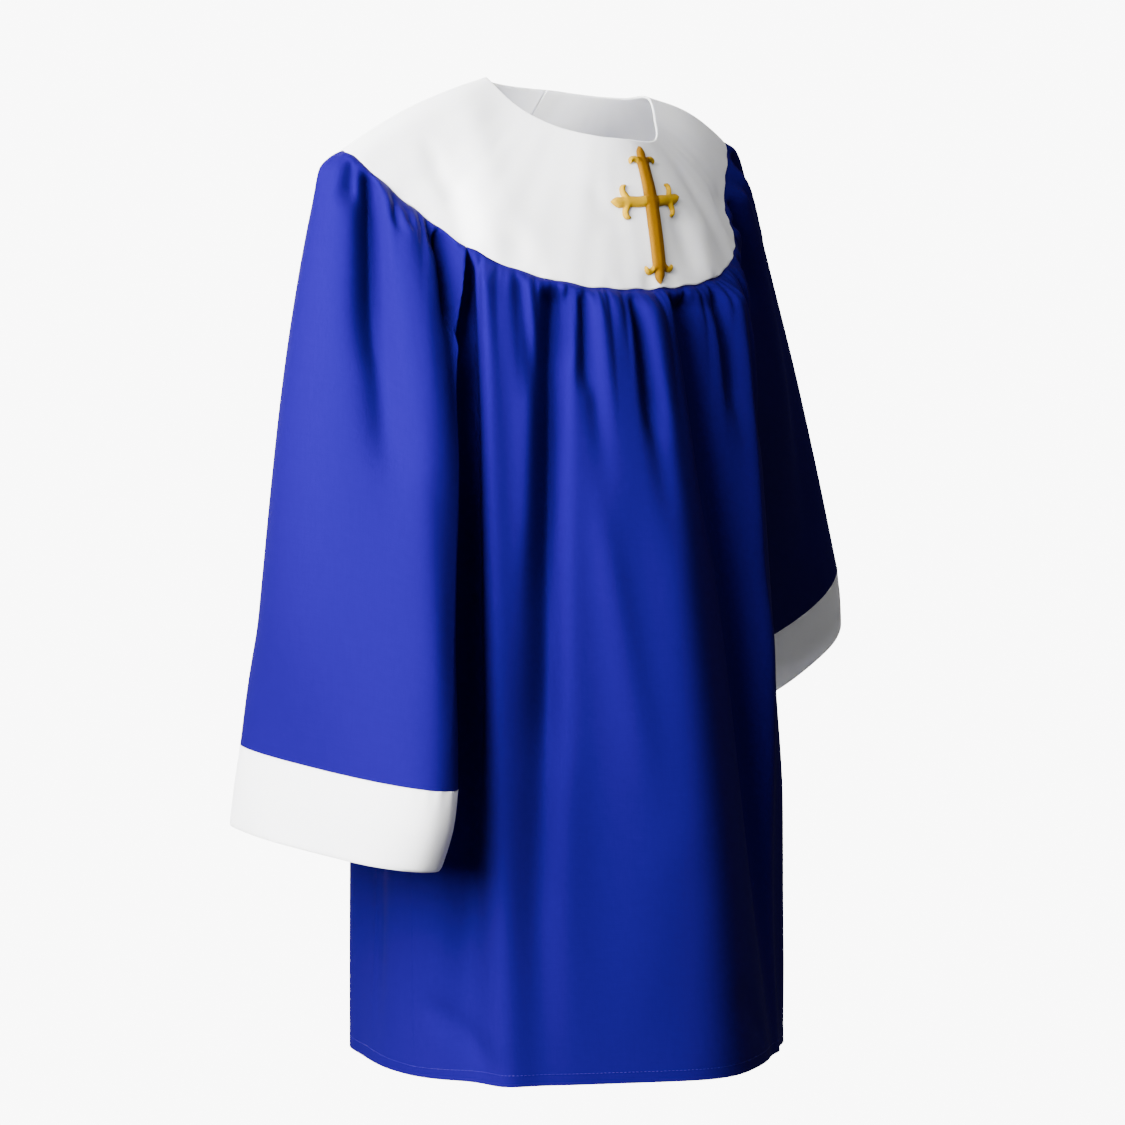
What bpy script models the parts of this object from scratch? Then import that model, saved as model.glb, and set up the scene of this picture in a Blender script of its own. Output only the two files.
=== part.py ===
# A child's choir robe, filled out as it is when worn, with nobody in it.
# Metres, +Z up. The front faces -Y, and the wearer's left side is +X.
# The origin lies in the neck opening, level with the points where the robe rests on the shoulders.

import math
import random
from bisect import bisect_right
from collections import namedtuple

import bmesh
import bpy
from mathutils import Matrix, Vector
from mathutils.geometry import delaunay_2d_cdt

# Cloth and seams
CLOTH = 0.0013
DOUBLED_CLOTH = 0.0020
SEAM_GAP = 0.0003
ARMHOLE_GAP = 0.0004

# How far apart two places are from which a slope is read, also just above the yoke's edge
PROBE = 0.002
EDGE_PROBE = 0.05

# Colours and roughness
Look = namedtuple("Look", "colour roughness")
WHITE = Look((0.90, 0.90, 0.93), 0.7)
BLUE = Look((0.02, 0.035, 0.42), 0.8)
GOLD = Look((0.80, 0.48, 0.03), 0.45)

# The yoke: a ring of cloth that slid a little towards the wearer's left
NECK_SLIDE = 0.012
NECK_ROLL = -0.10
BACK_OPENING = 0.004
YOKE_DOWNS = (0.0, 0.2, 0.4, 0.6, 0.8, 1.0)

# The panels
GATHERED_SHARE = 0.72
FRONT_ARMHOLE = 0.58
BACK_ARMHOLE = 1.42
UNDERARM = Vector((0.150, 0.035, -0.235))
ARMHOLE_BOW_IN = 0.004
ARMHOLE_BOW_DOWN = 0.012
HEM_HALF_WIDTH = 0.174
HEM_FRONT_DEPTH = 0.183
HEM_BACK_DEPTH = 0.178
HEM_QUARTER_LENGTH = 0.28
HEM_HEIGHT = -0.795
HEM_RISE = 0.005
HEM_TILT = 0.006
STAND_OFF = 0.014
STAND_OFF_FALL = 0.022
PANEL_CROWN = 0.007
HELD_FROM = 0.45
PANEL_DOWNS = (0.0, 0.010, 0.028, 0.055, 0.09, 0.14, 0.21, 0.30, 0.41, 0.54, 0.68, 0.84, 1.0)
PANEL_FINE_ROWS = 6
FRONT_STEPS = 112
BACK_STEPS = 90
SIDE_STEPS = 12

# The gathers: widths against each other, heights, how fast they rise below the seam, and how far
# down they run
GATHER_WIDTHS = (0.75, 1.3)
GATHER_HEIGHTS = (0.0032, 0.0052)
GATHER_RISE = 0.012
GATHER_RUNS = (0.06, 0.09, 0.14)

# The large folds: how soon they start, and where and over how far the short ones fade
FOLD_START = 0.03
FOLD_FADE_FROM = 0.6
FOLD_FADE_OVER = 0.7

# The sleeves and their cuffs
SLEEVE_STAND_OFF = 0.013
SLEEVE_STAND_OFF_FALL = 0.04
SLEEVE_FREE_FROM = 0.15
SLEEVE_FREE_BY = 0.40
SLEEVE_SQUARENESS = 0.85
SLEEVE_DOWNS = (0.0, 0.03, 0.07, 0.13, 0.21, 0.31, 0.43, 0.57, 0.72, 0.86, 1.0)
SLEEVE_FINE_ROWS = 4
CORNER_GAP = 0.004
CORNER_BLEND = 0.02
CUFF_HOLDS_FROM = 0.75
CUFF_HEIGHT = 0.067
CUFF_EASE = 0.0015
CUFF_DOWNS = (0.0, 0.5, 1.0)

# The strip behind the centre-back opening
PLACKET_WIDTH = 0.018
PLACKET_STANDS_UP = 0.0015
PLACKET_SET_IN = 0.0008
PLACKET_REACH = 0.95

# The embroidered cross, measured along the yoke from the neck edge
CROSS_TOP = 0.0055
CROSS_LENGTH = 0.121
CROSS_ARMS_DOWN = 0.050
CROSS_ARM_REACH = 0.0385
CROSS_UPRIGHT_HALF = 0.0066
CROSS_ARM_HALF = 0.0048
CROSS_EDGE_HEIGHT = 0.0010
CROSS_RIDGE_HEIGHT = 0.0022
CROSS_LEAN = math.radians(-1.5)
CROSS_SKEW = 0.08
CROSS_SHIFT = 0.007
CROSS_STEP = 0.009
CROSS_BAR_ENDS = 0.003
CROSS_RIDGE_ENDS = 0.006

# Yoke from the centre front (round 0) over the shoulder tip (1) to the centre back (2).
# The neck edge and the lower edge have a place each, and crown is how far the cloth bows out.
YokeRow = namedtuple("YokeRow", "round neck_x neck_y neck_z edge_x edge_y edge_z crown")
YOKE = (
    YokeRow(0.00, 0.0000, -0.0533, -0.0405, 0.0000, -0.1003, -0.1597, 0.003),
    YokeRow(0.25, 0.0300, -0.0460, -0.0400, 0.0730, -0.0895, -0.1545, 0.004),
    YokeRow(0.50, 0.0560, -0.0270, -0.0345, 0.1340, -0.0520, -0.1340, 0.005),
    YokeRow(0.75, 0.0755, -0.0050, -0.0215, 0.1700, -0.0020, -0.0950, 0.006),
    YokeRow(1.00, 0.0884, 0.0180, 0.0000, 0.2085, 0.0417, -0.0475, 0.006),
    YokeRow(1.25, 0.0740, 0.0310, -0.0015, 0.1700, 0.0800, -0.0800, 0.006),
    YokeRow(1.50, 0.0520, 0.0365, -0.0025, 0.1150, 0.1080, -0.1120, 0.006),
    YokeRow(1.75, 0.0270, 0.0385, -0.0025, 0.0570, 0.1190, -0.1250, 0.005),
    YokeRow(2.00, 0.0000, 0.0392, -0.0020, 0.0000, 0.1220, -0.1300, 0.005),
)

# Where each sleeve hangs: the middle of its cuff seam, how far its oval end reaches to the front and
# to the outside of that, how far the end leans out and back in degrees, how far the cuff's front
# edge is tucked in, and how far the sleeve bows out on its way down.
# The right sleeve hangs straight down, and the left one is held out to the side and back.
SleeveRow = namedtuple("SleeveRow", "name side x y z front outside lean_out lean_back tuck crown")
SLEEVES = (
    SleeveRow("right", -1, 0.221, 0.026, -0.541, 0.124, 0.040, 5.0, 3.3, 0.014, 0.017),
    SleeveRow("left", 1, 0.369, 0.207, -0.474, 0.055, 0.120, 29.0, 26.0, 0.0, 0.003),
)

# Large folds. A fold starts at the gathered seam and fades out where it ends, as a share of the way
# down. Across is 0 at a panel's middle line and 1 at its left side seam. On a sleeve it runs from 0
# at the underarm over 0.25 at the front end of the oval and 0.5 outside to 1. A trough is negative.
FoldRow = namedtuple("FoldRow", "across_top across_low wide_top wide_low depth_top depth_low ends")
FRONT_FOLDS = (
    FoldRow(-0.740, -0.810, 0.060, 0.080, -0.015, -0.023, 0.90),
    FoldRow(-0.625, -0.670, 0.045, 0.070, 0.012, 0.010, 1.00),
    FoldRow(-0.405, -0.560, 0.038, 0.060, -0.020, -0.015, 0.80),
    FoldRow(-0.360, -0.400, 0.080, 0.170, -0.004, -0.014, 0.98),
    FoldRow(-0.310, -0.280, 0.025, 0.040, -0.007, -0.004, 0.22),
    FoldRow(-0.090, -0.040, 0.070, 0.160, 0.006, 0.014, 1.00),
    FoldRow(-0.130, -0.090, 0.025, 0.040, -0.008, -0.004, 0.30),
    FoldRow(0.100, 0.400, 0.060, 0.150, -0.018, -0.028, 0.98),
    FoldRow(0.220, 0.300, 0.025, 0.040, -0.007, -0.004, 0.20),
    FoldRow(0.330, 0.400, 0.040, 0.060, 0.008, 0.014, 0.98),
    FoldRow(0.580, 0.740, 0.040, 0.070, -0.011, -0.010, 0.80),
)
BACK_FOLDS = (
    FoldRow(-0.640, -0.700, 0.045, 0.080, -0.012, -0.011, 0.80),
    FoldRow(-0.500, -0.480, 0.050, 0.120, 0.007, 0.011, 1.00),
    FoldRow(-0.340, -0.270, 0.035, 0.100, -0.011, -0.013, 1.00),
    FoldRow(-0.180, -0.170, 0.030, 0.040, -0.007, -0.004, 0.25),
    FoldRow(-0.020, -0.060, 0.060, 0.130, 0.006, 0.011, 1.00),
    FoldRow(0.150, 0.210, 0.035, 0.110, -0.011, -0.014, 1.00),
    FoldRow(0.330, 0.340, 0.030, 0.050, -0.007, -0.004, 0.22),
    FoldRow(0.450, 0.520, 0.050, 0.110, 0.007, 0.010, 1.00),
    FoldRow(0.620, 0.720, 0.045, 0.080, -0.012, -0.011, 0.75),
)
SLEEVE_FOLDS = {
    "right": (
        FoldRow(0.210, 0.200, 0.060, 0.100, -0.004, -0.011, 0.75),
        FoldRow(0.310, 0.220, 0.028, 0.050, -0.010, -0.008, 0.40),
        FoldRow(0.390, 0.320, 0.028, 0.050, 0.007, 0.004, 0.48),
        FoldRow(0.438, 0.400, 0.016, 0.030, -0.011, -0.006, 0.52),
        FoldRow(0.462, 0.466, 0.010, 0.012, -0.003, -0.002, 0.09),
        FoldRow(0.500, 0.540, 0.040, 0.080, 0.005, 0.005, 1.00),
        FoldRow(0.570, 0.640, 0.018, 0.040, -0.010, -0.006, 0.48),
        FoldRow(0.640, 0.740, 0.022, 0.050, 0.007, 0.005, 0.60),
        FoldRow(0.690, 0.800, 0.020, 0.040, -0.009, -0.005, 0.38),
    ),
    "left": (
        FoldRow(0.330, 0.250, 0.025, 0.050, -0.010, -0.006, 0.38),
        FoldRow(0.390, 0.330, 0.022, 0.050, 0.007, 0.005, 0.60),
        FoldRow(0.450, 0.420, 0.018, 0.040, -0.010, -0.006, 0.42),
        FoldRow(0.540, 0.560, 0.030, 0.070, 0.006, 0.006, 1.00),
        FoldRow(0.600, 0.670, 0.018, 0.040, -0.010, -0.006, 0.55),
        FoldRow(0.680, 0.780, 0.022, 0.040, -0.008, -0.005, 0.38),
    ),
}

# One end of the cross, from the bar to the leaf's tip: how far back from the tip, and how far
# from the middle line. The curls turn out on both sides of the leaf.
EndRow = namedtuple("EndRow", "back across")
CROSS_END = (
    EndRow(0.0145, 0.0092),
    EndRow(0.0170, 0.0138),
    EndRow(0.0130, 0.0148),
    EndRow(0.0098, 0.0108),
    EndRow(0.0110, 0.0042),
    EndRow(0.0072, 0.0046),
    EndRow(0.0030, 0.0028),
)


def smooth_value(rows, name, at):
    """One column of a table, read at a place between its rows along a smooth curve."""
    keys = [row[0] for row in rows]
    values = [getattr(row, name) for row in rows]
    at = min(max(at, keys[0]), keys[-1])
    low = max(i for i in range(len(keys) - 1) if keys[i] <= at or i == 0)

    def slope(i):
        before, after = max(i - 1, 0), min(i + 1, len(keys) - 1)
        return (values[after] - values[before]) / (keys[after] - keys[before])

    span = keys[low + 1] - keys[low]
    t = (at - keys[low]) / span
    return (
        values[low] * (1 + 2 * t) * (1 - t) ** 2
        + values[low + 1] * t * t * (3 - 2 * t)
        + span * (slope(low) * t * (1 - t) ** 2 - slope(low + 1) * t * t * (1 - t))
    )


def ease(t):
    """From 0 to 1 with level ends."""
    t = min(max(t, 0.0), 1.0)
    return t * t * (3 - 2 * t)


def mirrored_yoke():
    """The yoke's rows all the way round, from one centre-back edge to the other and past it."""
    right = [row._replace(round=-row.round, neck_x=-row.neck_x, edge_x=-row.edge_x) for row in YOKE[:0:-1]]
    ring = right + list(YOKE)
    before = [row._replace(round=row.round - 4) for row in ring[-3:-1]]
    after = [row._replace(round=row.round + 4) for row in ring[1:3]]
    return before + ring + after


YOKE_RING = mirrored_yoke()


def neck_point(place):
    """The neck edge, slid and rolled on the shoulders."""
    x = smooth_value(YOKE_RING, "neck_x", place)
    y = smooth_value(YOKE_RING, "neck_y", place)
    z = smooth_value(YOKE_RING, "neck_z", place)
    return Vector((x + NECK_SLIDE, y, z + NECK_ROLL * x))


def edge_point(place):
    """The yoke's lower edge, where the gathers are sewn in."""
    return Vector([smooth_value(YOKE_RING, "edge_" + axis, place) for axis in "xyz"])


def yoke_point(place, down):
    """The yoke's outer face, from the neck edge (down 0) to the lower edge (1)."""
    neck, edge = neck_point(place), edge_point(place)
    along = edge_point(place + PROBE) - edge_point(place - PROBE)
    out = (edge - neck).cross(along).normalized()
    crown = smooth_value(YOKE_RING, "crown", place)
    return neck.lerp(edge, down) + out * crown * math.sin(math.pi * down)


def edge_frame(place):
    """At the yoke's lower edge: the way along it, out of the cloth, and down into the gathers."""
    along = (edge_point(place + PROBE) - edge_point(place - PROBE)).normalized()
    level_out = along.cross(Vector((0, 0, 1))).normalized()
    slope = yoke_point(place, 1) - yoke_point(place, 1 - EDGE_PROBE)
    yoke_out = slope.cross(along).normalized()
    out = (yoke_out + level_out).normalized()
    return along, out, along.cross(out)


def spread(limits, steps):
    """Places between the limits, with its own number of steps in each stretch."""
    places = [limits[0]]
    for low, high, count in zip(limits, limits[1:], steps):
        places += [low + (high - low) * (i + 1) / count for i in range(count)]
    return places


YOKE_PLACES = spread((-2 + BACK_OPENING / 2, -1, 0, 1, 2 - BACK_OPENING / 2), (12, 14, 14, 12))
SLEEVE_SHARES = spread((0.0, 0.25, 0.75, 1.0), (12, 48, 12))[:-1]


def along_rim(value, place):
    """A value at the yoke's columns, read on the straight stretches between them."""
    high = min(max(bisect_right(YOKE_PLACES, place), 1), len(YOKE_PLACES) - 1)
    before, after = YOKE_PLACES[high - 1], YOKE_PLACES[high]
    return value(before).lerp(value(after), (place - before) / (after - before))


def rim_out(place):
    """The way out of the seam under the yoke, the same for the yoke and for what is sewn to it."""
    return along_rim(lambda at: edge_frame(at)[1], place).normalized()


def gathered_point(place):
    """Where gathered cloth starts, just below the yoke's edge."""
    return along_rim(lambda at: edge_point(at) + edge_frame(at)[2] * SEAM_GAP, place)


def armhole_point(side, face, along):
    """The armhole seam, from the yoke's edge (0) to the underarm (1), on the front or the back."""
    start = gathered_point(side * (FRONT_ARMHOLE if face == "front" else BACK_ARMHOLE))
    end = Vector((side * UNDERARM.x, UNDERARM.y, UNDERARM.z))
    middle = (start + end) / 2 + Vector((-side * ARMHOLE_BOW_IN, 0, -ARMHOLE_BOW_DOWN))
    return start * (1 - along) ** 2 + middle * 2 * along * (1 - along) + end * along**2


def hem_point(face, across):
    """The hem, a round that is a little deeper in front and hangs lower at the wearer's right."""
    turn = across * math.pi / 2
    depth = -HEM_FRONT_DEPTH if face == "front" else HEM_BACK_DEPTH
    x, y = HEM_HALF_WIDTH * math.sin(turn), depth * math.cos(turn)
    rise = HEM_RISE * max(-y / HEM_FRONT_DEPTH, 0)
    return Vector((x, y, HEM_HEIGHT + rise + HEM_TILT * x))


def panel_top(face, across):
    """The panel's upper boundary: the yoke's edge in the middle and an armhole at each side."""
    side = 1 if across >= 0 else -1
    share = abs(across) / GATHERED_SHARE
    if share <= 1:
        place = FRONT_ARMHOLE * share if face == "front" else 2 - (2 - BACK_ARMHOLE) * share
        return gathered_point(side * place)
    return armhole_point(side, face, (abs(across) - GATHERED_SHARE) / (1 - GATHERED_SHARE))


def level_out(face, across):
    """The level way out of a panel at its hem."""
    step = hem_point(face, across + PROBE) - hem_point(face, across - PROBE)
    out = step.cross(Vector((0, 0, 1)))
    if face == "back":
        out = -out
    out.z = 0
    return out.normalized()


def hang(top, end, out, stand_off, fall, crown, down):
    """A line of cloth that leaves its seam outwards and then hangs to its end."""
    straight = (top + out * stand_off).lerp(end, down)
    return straight - out * stand_off * math.exp(-down / fall) + out * crown * math.sin(math.pi * down)


def make_gathers(count, seed):
    """Gathers with uneven spacing: where each one starts, how high it stands and how far it runs."""
    draw = random.Random(seed)
    widths = [draw.uniform(*GATHER_WIDTHS) for _ in range(count)]
    total = sum(widths)
    edges = [sum(widths[:i]) / total for i in range(count + 1)]
    heights = [draw.uniform(*GATHER_HEIGHTS) for _ in range(count)]
    runs = [draw.choice(GATHER_RUNS) for _ in range(count)]
    return edges, heights, runs


def gather_lift(gathers, share, down):
    """How far a gather lifts the cloth, at a share of the way along the gathered edge."""
    edges, heights, runs = gathers
    if not 0 <= share < 1:
        return 0.0
    i = max(k for k in range(len(heights)) if edges[k] <= share)
    inside = (share - edges[i]) / (edges[i + 1] - edges[i])
    rise = 1 - math.exp(-down / GATHER_RISE)
    return heights[i] * math.sin(math.pi * inside) ** 2 * rise * math.exp(-((down / runs[i]) ** 2))


def fold_lift(folds, across, down):
    """How far the large folds lift the cloth at one place."""
    lift = 0.0
    for fold in folds:
        low = min(down / fold.ends, 1.0)
        middle = fold.across_top + (fold.across_low - fold.across_top) * low
        wide = fold.wide_top + (fold.wide_low - fold.wide_top) * low
        depth = fold.depth_top + (fold.depth_low - fold.depth_top) * low
        if fold.ends < 1:
            depth *= 1 - ease((down / fold.ends - FOLD_FADE_FROM) / FOLD_FADE_OVER)
        lift += depth * math.exp(-(((across - middle) / wide) ** 2)) * ease(down / FOLD_START)
    return lift


FRONT_GATHERS = make_gathers(count=22, seed=3)
BACK_GATHERS = make_gathers(count=18, seed=5)
SLEEVE_GATHERS = {"right": make_gathers(count=10, seed=8), "left": make_gathers(count=10, seed=11)}


def panel_point(face, across, down):
    """A panel's outer face, from side seam to side seam (across -1 to 1) and down to the hem (1)."""
    out = level_out(face, across)
    free = 1 - ease((abs(across) - HELD_FROM) / (GATHERED_SHARE - HELD_FROM))
    point = hang(panel_top(face, across), hem_point(face, across), out, STAND_OFF * free, STAND_OFF_FALL,
                 PANEL_CROWN * free, down)
    gathers, folds = (FRONT_GATHERS, FRONT_FOLDS) if face == "front" else (BACK_GATHERS, BACK_FOLDS)
    share = (across / GATHERED_SHARE + 1) / 2
    return point + out * (gather_lift(gathers, share, down) + fold_lift(folds, across, down))


def sleeve_axes(row):
    """The way that a sleeve's end faces, and the ways to its outside and its front."""
    lean_out, lean_back = math.radians(row.lean_out), math.radians(row.lean_back)
    axis = Vector((row.side * math.tan(lean_out), math.tan(lean_back), -1)).normalized()
    outside = Vector((row.side, 0, 0))
    outside = (outside - axis * outside.dot(axis)).normalized()
    front = axis.cross(outside) * row.side
    return axis, outside, front


def cuff_ring(row, share, below):
    """The oval of a sleeve's end: share 0 next to the body, then front, outside and back."""
    axis, outside, front = sleeve_axes(row)
    turn = 2 * math.pi * share
    across = math.copysign(abs(math.cos(turn)) ** SLEEVE_SQUARENESS, -math.cos(turn))
    forward = math.copysign(abs(math.sin(turn)) ** SLEEVE_SQUARENESS, math.sin(turn))
    tuck = row.tuck * max(forward, 0) ** 2 * max(below / CUFF_HEIGHT, 0) ** 2
    middle = Vector((row.side * row.x, row.y, row.z))
    return middle + axis * below + outside * row.outside * across + front * (row.front * forward - tuck)


def cuff_out(row, share, below):
    """The way out of the oval."""
    along = cuff_ring(row, share + PROBE, below) - cuff_ring(row, share - PROBE, below)
    return along.cross(sleeve_axes(row)[0]).normalized() * -row.side


def sleeve_top(row, share):
    """The sleeve's upper edge: front armhole, yoke edge over the shoulder tip, and back armhole."""
    if 0.25 <= share <= 0.75:
        place = FRONT_ARMHOLE + (BACK_ARMHOLE - FRONT_ARMHOLE) * (share - 0.25) * 2
        place = min(max(place, FRONT_ARMHOLE + CORNER_GAP), BACK_ARMHOLE - CORNER_GAP)
        return gathered_point(row.side * place)
    face = "front" if share < 0.25 else "back"
    along = 1 - 4 * share if share < 0.25 else 4 * share - 3
    point = armhole_point(row.side, face, along)
    across = row.side * (GATHERED_SHARE + along * (1 - GATHERED_SHARE))
    above, below = max(along - PROBE, 0), min(along + PROBE, 1)
    step = armhole_point(row.side, face, below) - armhole_point(row.side, face, above)
    out = level_out(face, across)
    away = step.cross(out).normalized()
    if away.z < 0:
        away = -away
    return point + (out + away) * ARMHOLE_GAP


def sleeve_point(row, share, down):
    """A sleeve's outer face, from its upper edge (down 0) to the cuff seam (1)."""
    top, end = sleeve_top(row, share), cuff_ring(row, share, 0.0)
    from_underarm = 0.5 - abs(share - 0.5)
    free = ease((from_underarm - SLEEVE_FREE_FROM) / (SLEEVE_FREE_BY - SLEEVE_FREE_FROM))
    out = end - Vector((row.side * row.x, row.y, row.z))
    out = Vector((out.x, out.y, 0)).normalized()
    point = hang(top, end, out, SLEEVE_STAND_OFF * free, SLEEVE_STAND_OFF_FALL, row.crown * free, down)
    gathers = SLEEVE_GATHERS[row.name]
    lift = gather_lift(gathers, (share - 0.25) * 2, down)
    lift += fold_lift(SLEEVE_FOLDS[row.name], share, down)
    return point + out * lift * (1 - ease((down - CUFF_HOLDS_FROM) / (1 - CUFF_HOLDS_FROM)))


def finish(name, made, look):
    """Make a named object with its own material and put it in the robe's collection."""
    mesh = bpy.data.meshes.new(name)
    made.to_mesh(mesh)
    made.free()
    thing = bpy.data.objects.new(name, mesh)
    ROBE.objects.link(thing)
    material = bpy.data.materials.new(name)
    material.use_nodes = True
    shader = material.node_tree.nodes["Principled BSDF"]
    shader.inputs["Base Color"].default_value = (*look.colour, 1)
    shader.inputs["Roughness"].default_value = look.roughness
    shader.inputs["Metallic"].default_value = 0
    mesh.materials.append(material)
    mesh.shade_smooth()
    return thing


def outward(surface, across, down, flip):
    """The way out of a surface at one place, read from its points close by."""
    along = surface(across + PROBE, down) - surface(across - PROBE, down)
    drop = surface(across, min(down + PROBE, 1)) - surface(across, max(down - PROBE, 0))
    out = drop.cross(along).normalized()
    return -out if flip else out


def band(made, upper, lower, closed, flip):
    """Faces between two rows of vertices, where the lower one may have half as many steps."""
    steps = len(lower) if closed else len(lower) - 1
    halved = len(upper) > len(lower)
    for j in range(steps):
        k = (j + 1) % len(lower)
        if halved:
            a, b, c = upper[2 * j], upper[2 * j + 1], upper[(2 * j + 2) % len(upper)]
            faces = [(a, lower[j], b), (b, lower[j], lower[k]), (b, lower[k], c)]
        else:
            faces = [(upper[j], lower[j], lower[k], upper[k])]
        for face in faces:
            made.faces.new(face[::-1] if flip else face)


def wall(rows, normals, thickness, closed):
    """A wall of cloth: outer rows, the same rows moved in, and a rim round every open edge."""
    made = bmesh.new()
    outer = [[made.verts.new(point) for point in row] for row in rows]
    inner = [
        [made.verts.new(point - out * thickness) for point, out in zip(row, row_out)]
        for row, row_out in zip(rows, normals)
    ]
    for i in range(len(rows) - 1):
        band(made, outer[i], outer[i + 1], closed, False)
        band(made, inner[i], inner[i + 1], closed, True)
    band(made, outer[0], inner[0], closed, True)
    band(made, outer[-1], inner[-1], closed, False)
    if not closed:
        for i in range(len(rows) - 1):
            made.faces.new((outer[i][0], inner[i][0], inner[i + 1][0], outer[i + 1][0]))
            made.faces.new((outer[i][-1], outer[i + 1][-1], inner[i + 1][-1], inner[i][-1]))
    bmesh.ops.recalc_face_normals(made, faces=made.faces)
    return made


def cloth(surface, acrosses, downs, fine_rows, thickness, flip, closed, seam_out=None):
    """A wall over a surface. Its first rows have all the steps across, and the rest have half."""
    rows, normals = [], []
    for i, down in enumerate(downs):
        places = acrosses if i < fine_rows else acrosses[::2]
        rows.append([surface(across, down) for across in places])
        outs = [outward(surface, across, down, flip) for across in places]
        if seam_out:
            outs = [seam_out(across, down) or out for across, out in zip(places, outs)]
        normals.append(outs)
    return wall(rows, normals, thickness, closed)


def make_yoke():
    """The round yoke, open at the centre back."""
    rows = [[yoke_point(place, down) for place in YOKE_PLACES] for down in YOKE_DOWNS]
    normals = [[yoke_out(place, down) for place in YOKE_PLACES] for down in YOKE_DOWNS]
    normals[-1] = [edge_frame(place)[1] for place in YOKE_PLACES]
    return finish("yoke", wall(rows, normals, DOUBLED_CLOTH, False), WHITE)


def yoke_out(place, down):
    """The way out of the yoke."""
    along = yoke_point(place + PROBE, down) - yoke_point(place - PROBE, down)
    drop = yoke_point(place, down + PROBE) - yoke_point(place, down - PROBE)
    return drop.cross(along).normalized()


def make_panel(face, gathered_steps):
    """The front or the back, from one side seam to the other."""
    edge = 1 - SEAM_GAP / 2 / HEM_QUARTER_LENGTH
    limits = (-edge, -GATHERED_SHARE, GATHERED_SHARE, edge)
    places = spread(limits, (SIDE_STEPS, gathered_steps, SIDE_STEPS))

    def surface(across, down):
        return panel_point(face, across, down)

    def seam_out(across, down):
        if abs(across) == edge:
            lower = surface(across, min(down + PROBE, 1)) - surface(across, max(down - PROBE, 0))
            level = Vector((math.copysign(1, across), 0, 0))
            return (level - level.project(lower)).normalized()
        share = abs(across) / GATHERED_SHARE
        if down > 0 or share > 1:
            return None
        place = FRONT_ARMHOLE * share if face == "front" else 2 - (2 - BACK_ARMHOLE) * share
        return rim_out(math.copysign(place, across))

    made = cloth(surface, places, PANEL_DOWNS, PANEL_FINE_ROWS, CLOTH, face == "back", False, seam_out)
    return finish("body_" + face, made, BLUE)


def make_sleeve(row):
    """A bell sleeve in one piece, closed by its underarm seam."""

    def surface(share, down):
        return sleeve_point(row, share % 1, down)

    def seam_out(share, down):
        if down == 1:
            return cuff_out(row, share, 0.0)
        if down > 0 or not 0.25 <= share <= 0.75:
            return None
        place = row.side * (FRONT_ARMHOLE + (BACK_ARMHOLE - FRONT_ARMHOLE) * (share - 0.25) * 2)
        if share not in (0.25, 0.75):
            return rim_out(place)
        beside = outward(surface, share + math.copysign(CORNER_BLEND, share - 0.5), 0, row.side < 0)
        corner = rim_out(place) + beside
        return (corner - corner.project(edge_frame(place)[2])).normalized()

    right = row.side < 0
    made = cloth(surface, SLEEVE_SHARES, SLEEVE_DOWNS, SLEEVE_FINE_ROWS, CLOTH, right, True, seam_out)
    return finish("sleeve_" + row.name, made, BLUE)


def make_cuff(row):
    """A straight band sewn to the end of a sleeve."""
    rows, normals = [], []
    shares = SLEEVE_SHARES[::2]
    for down in CUFF_DOWNS:
        below = SEAM_GAP + (CUFF_HEIGHT - SEAM_GAP) * down
        outs = [cuff_out(row, share, below) for share in shares]
        ring = [cuff_ring(row, share, below) for share in shares]
        wider = CUFF_EASE * min(down * 2, 1)
        rows.append([point + out * wider for point, out in zip(ring, outs)])
        normals.append(outs)
    return finish("cuff_" + row.name, wall(rows, normals, DOUBLED_CLOTH, True), WHITE)


def make_placket():
    """A straight strip inside the yoke, behind its centre-back opening."""

    def surface(across, down):
        scale = (yoke_point(2 + PROBE, down) - yoke_point(2 - PROBE, down)).length / (2 * PROBE)
        place = 2 + across * PLACKET_WIDTH / scale
        point = yoke_point(place, down)
        if down == 0:
            point += (point - yoke_point(place, PROBE)).normalized() * PLACKET_STANDS_UP
        return point - yoke_out(place, down) * (DOUBLED_CLOTH + PLACKET_SET_IN)

    downs = [down * PLACKET_REACH for down in YOKE_DOWNS]
    made = cloth(surface, (-0.5, 0.0, 0.5), downs, len(downs), CLOTH, False, False)
    return finish("back_placket", made, WHITE)


def cross_outline():
    """The cross's outline and its ridge lines, flat, with +Y towards the neck."""
    arms = (
        (Vector((0, 1)), CROSS_ARMS_DOWN, CROSS_UPRIGHT_HALF, CROSS_ARM_HALF),
        (Vector((1, 0)), CROSS_ARM_REACH, CROSS_ARM_HALF, CROSS_UPRIGHT_HALF),
        (Vector((0, -1)), CROSS_LENGTH - CROSS_ARMS_DOWN, CROSS_UPRIGHT_HALF, CROSS_ARM_HALF),
        (Vector((-1, 0)), CROSS_ARM_REACH, CROSS_ARM_HALF, CROSS_UPRIGHT_HALF),
    )
    outline, ridges = [], []
    for way, reach, half, start in arms:
        side = Vector((way.y, -way.x))
        bar_end = reach - CROSS_END[0].back - CROSS_BAR_ENDS
        steps = max(round((bar_end - start) / CROSS_STEP), 1)
        half_line = [(start + (bar_end - start) * i / steps, half) for i in range(steps + 1)]
        half_line += [(reach - row.back, row.across) for row in CROSS_END]
        outline += [way * far - side * wide for far, wide in half_line[1:]]
        outline.append(way * reach)
        outline += [way * far + side * wide for far, wide in half_line[::-1]]
        spine = [way * (start + (bar_end - start) * i / steps) for i in range(steps + 1)]
        ridges.append(spine + [way * (reach - CROSS_RIDGE_ENDS)])
    return outline, ridges


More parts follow.
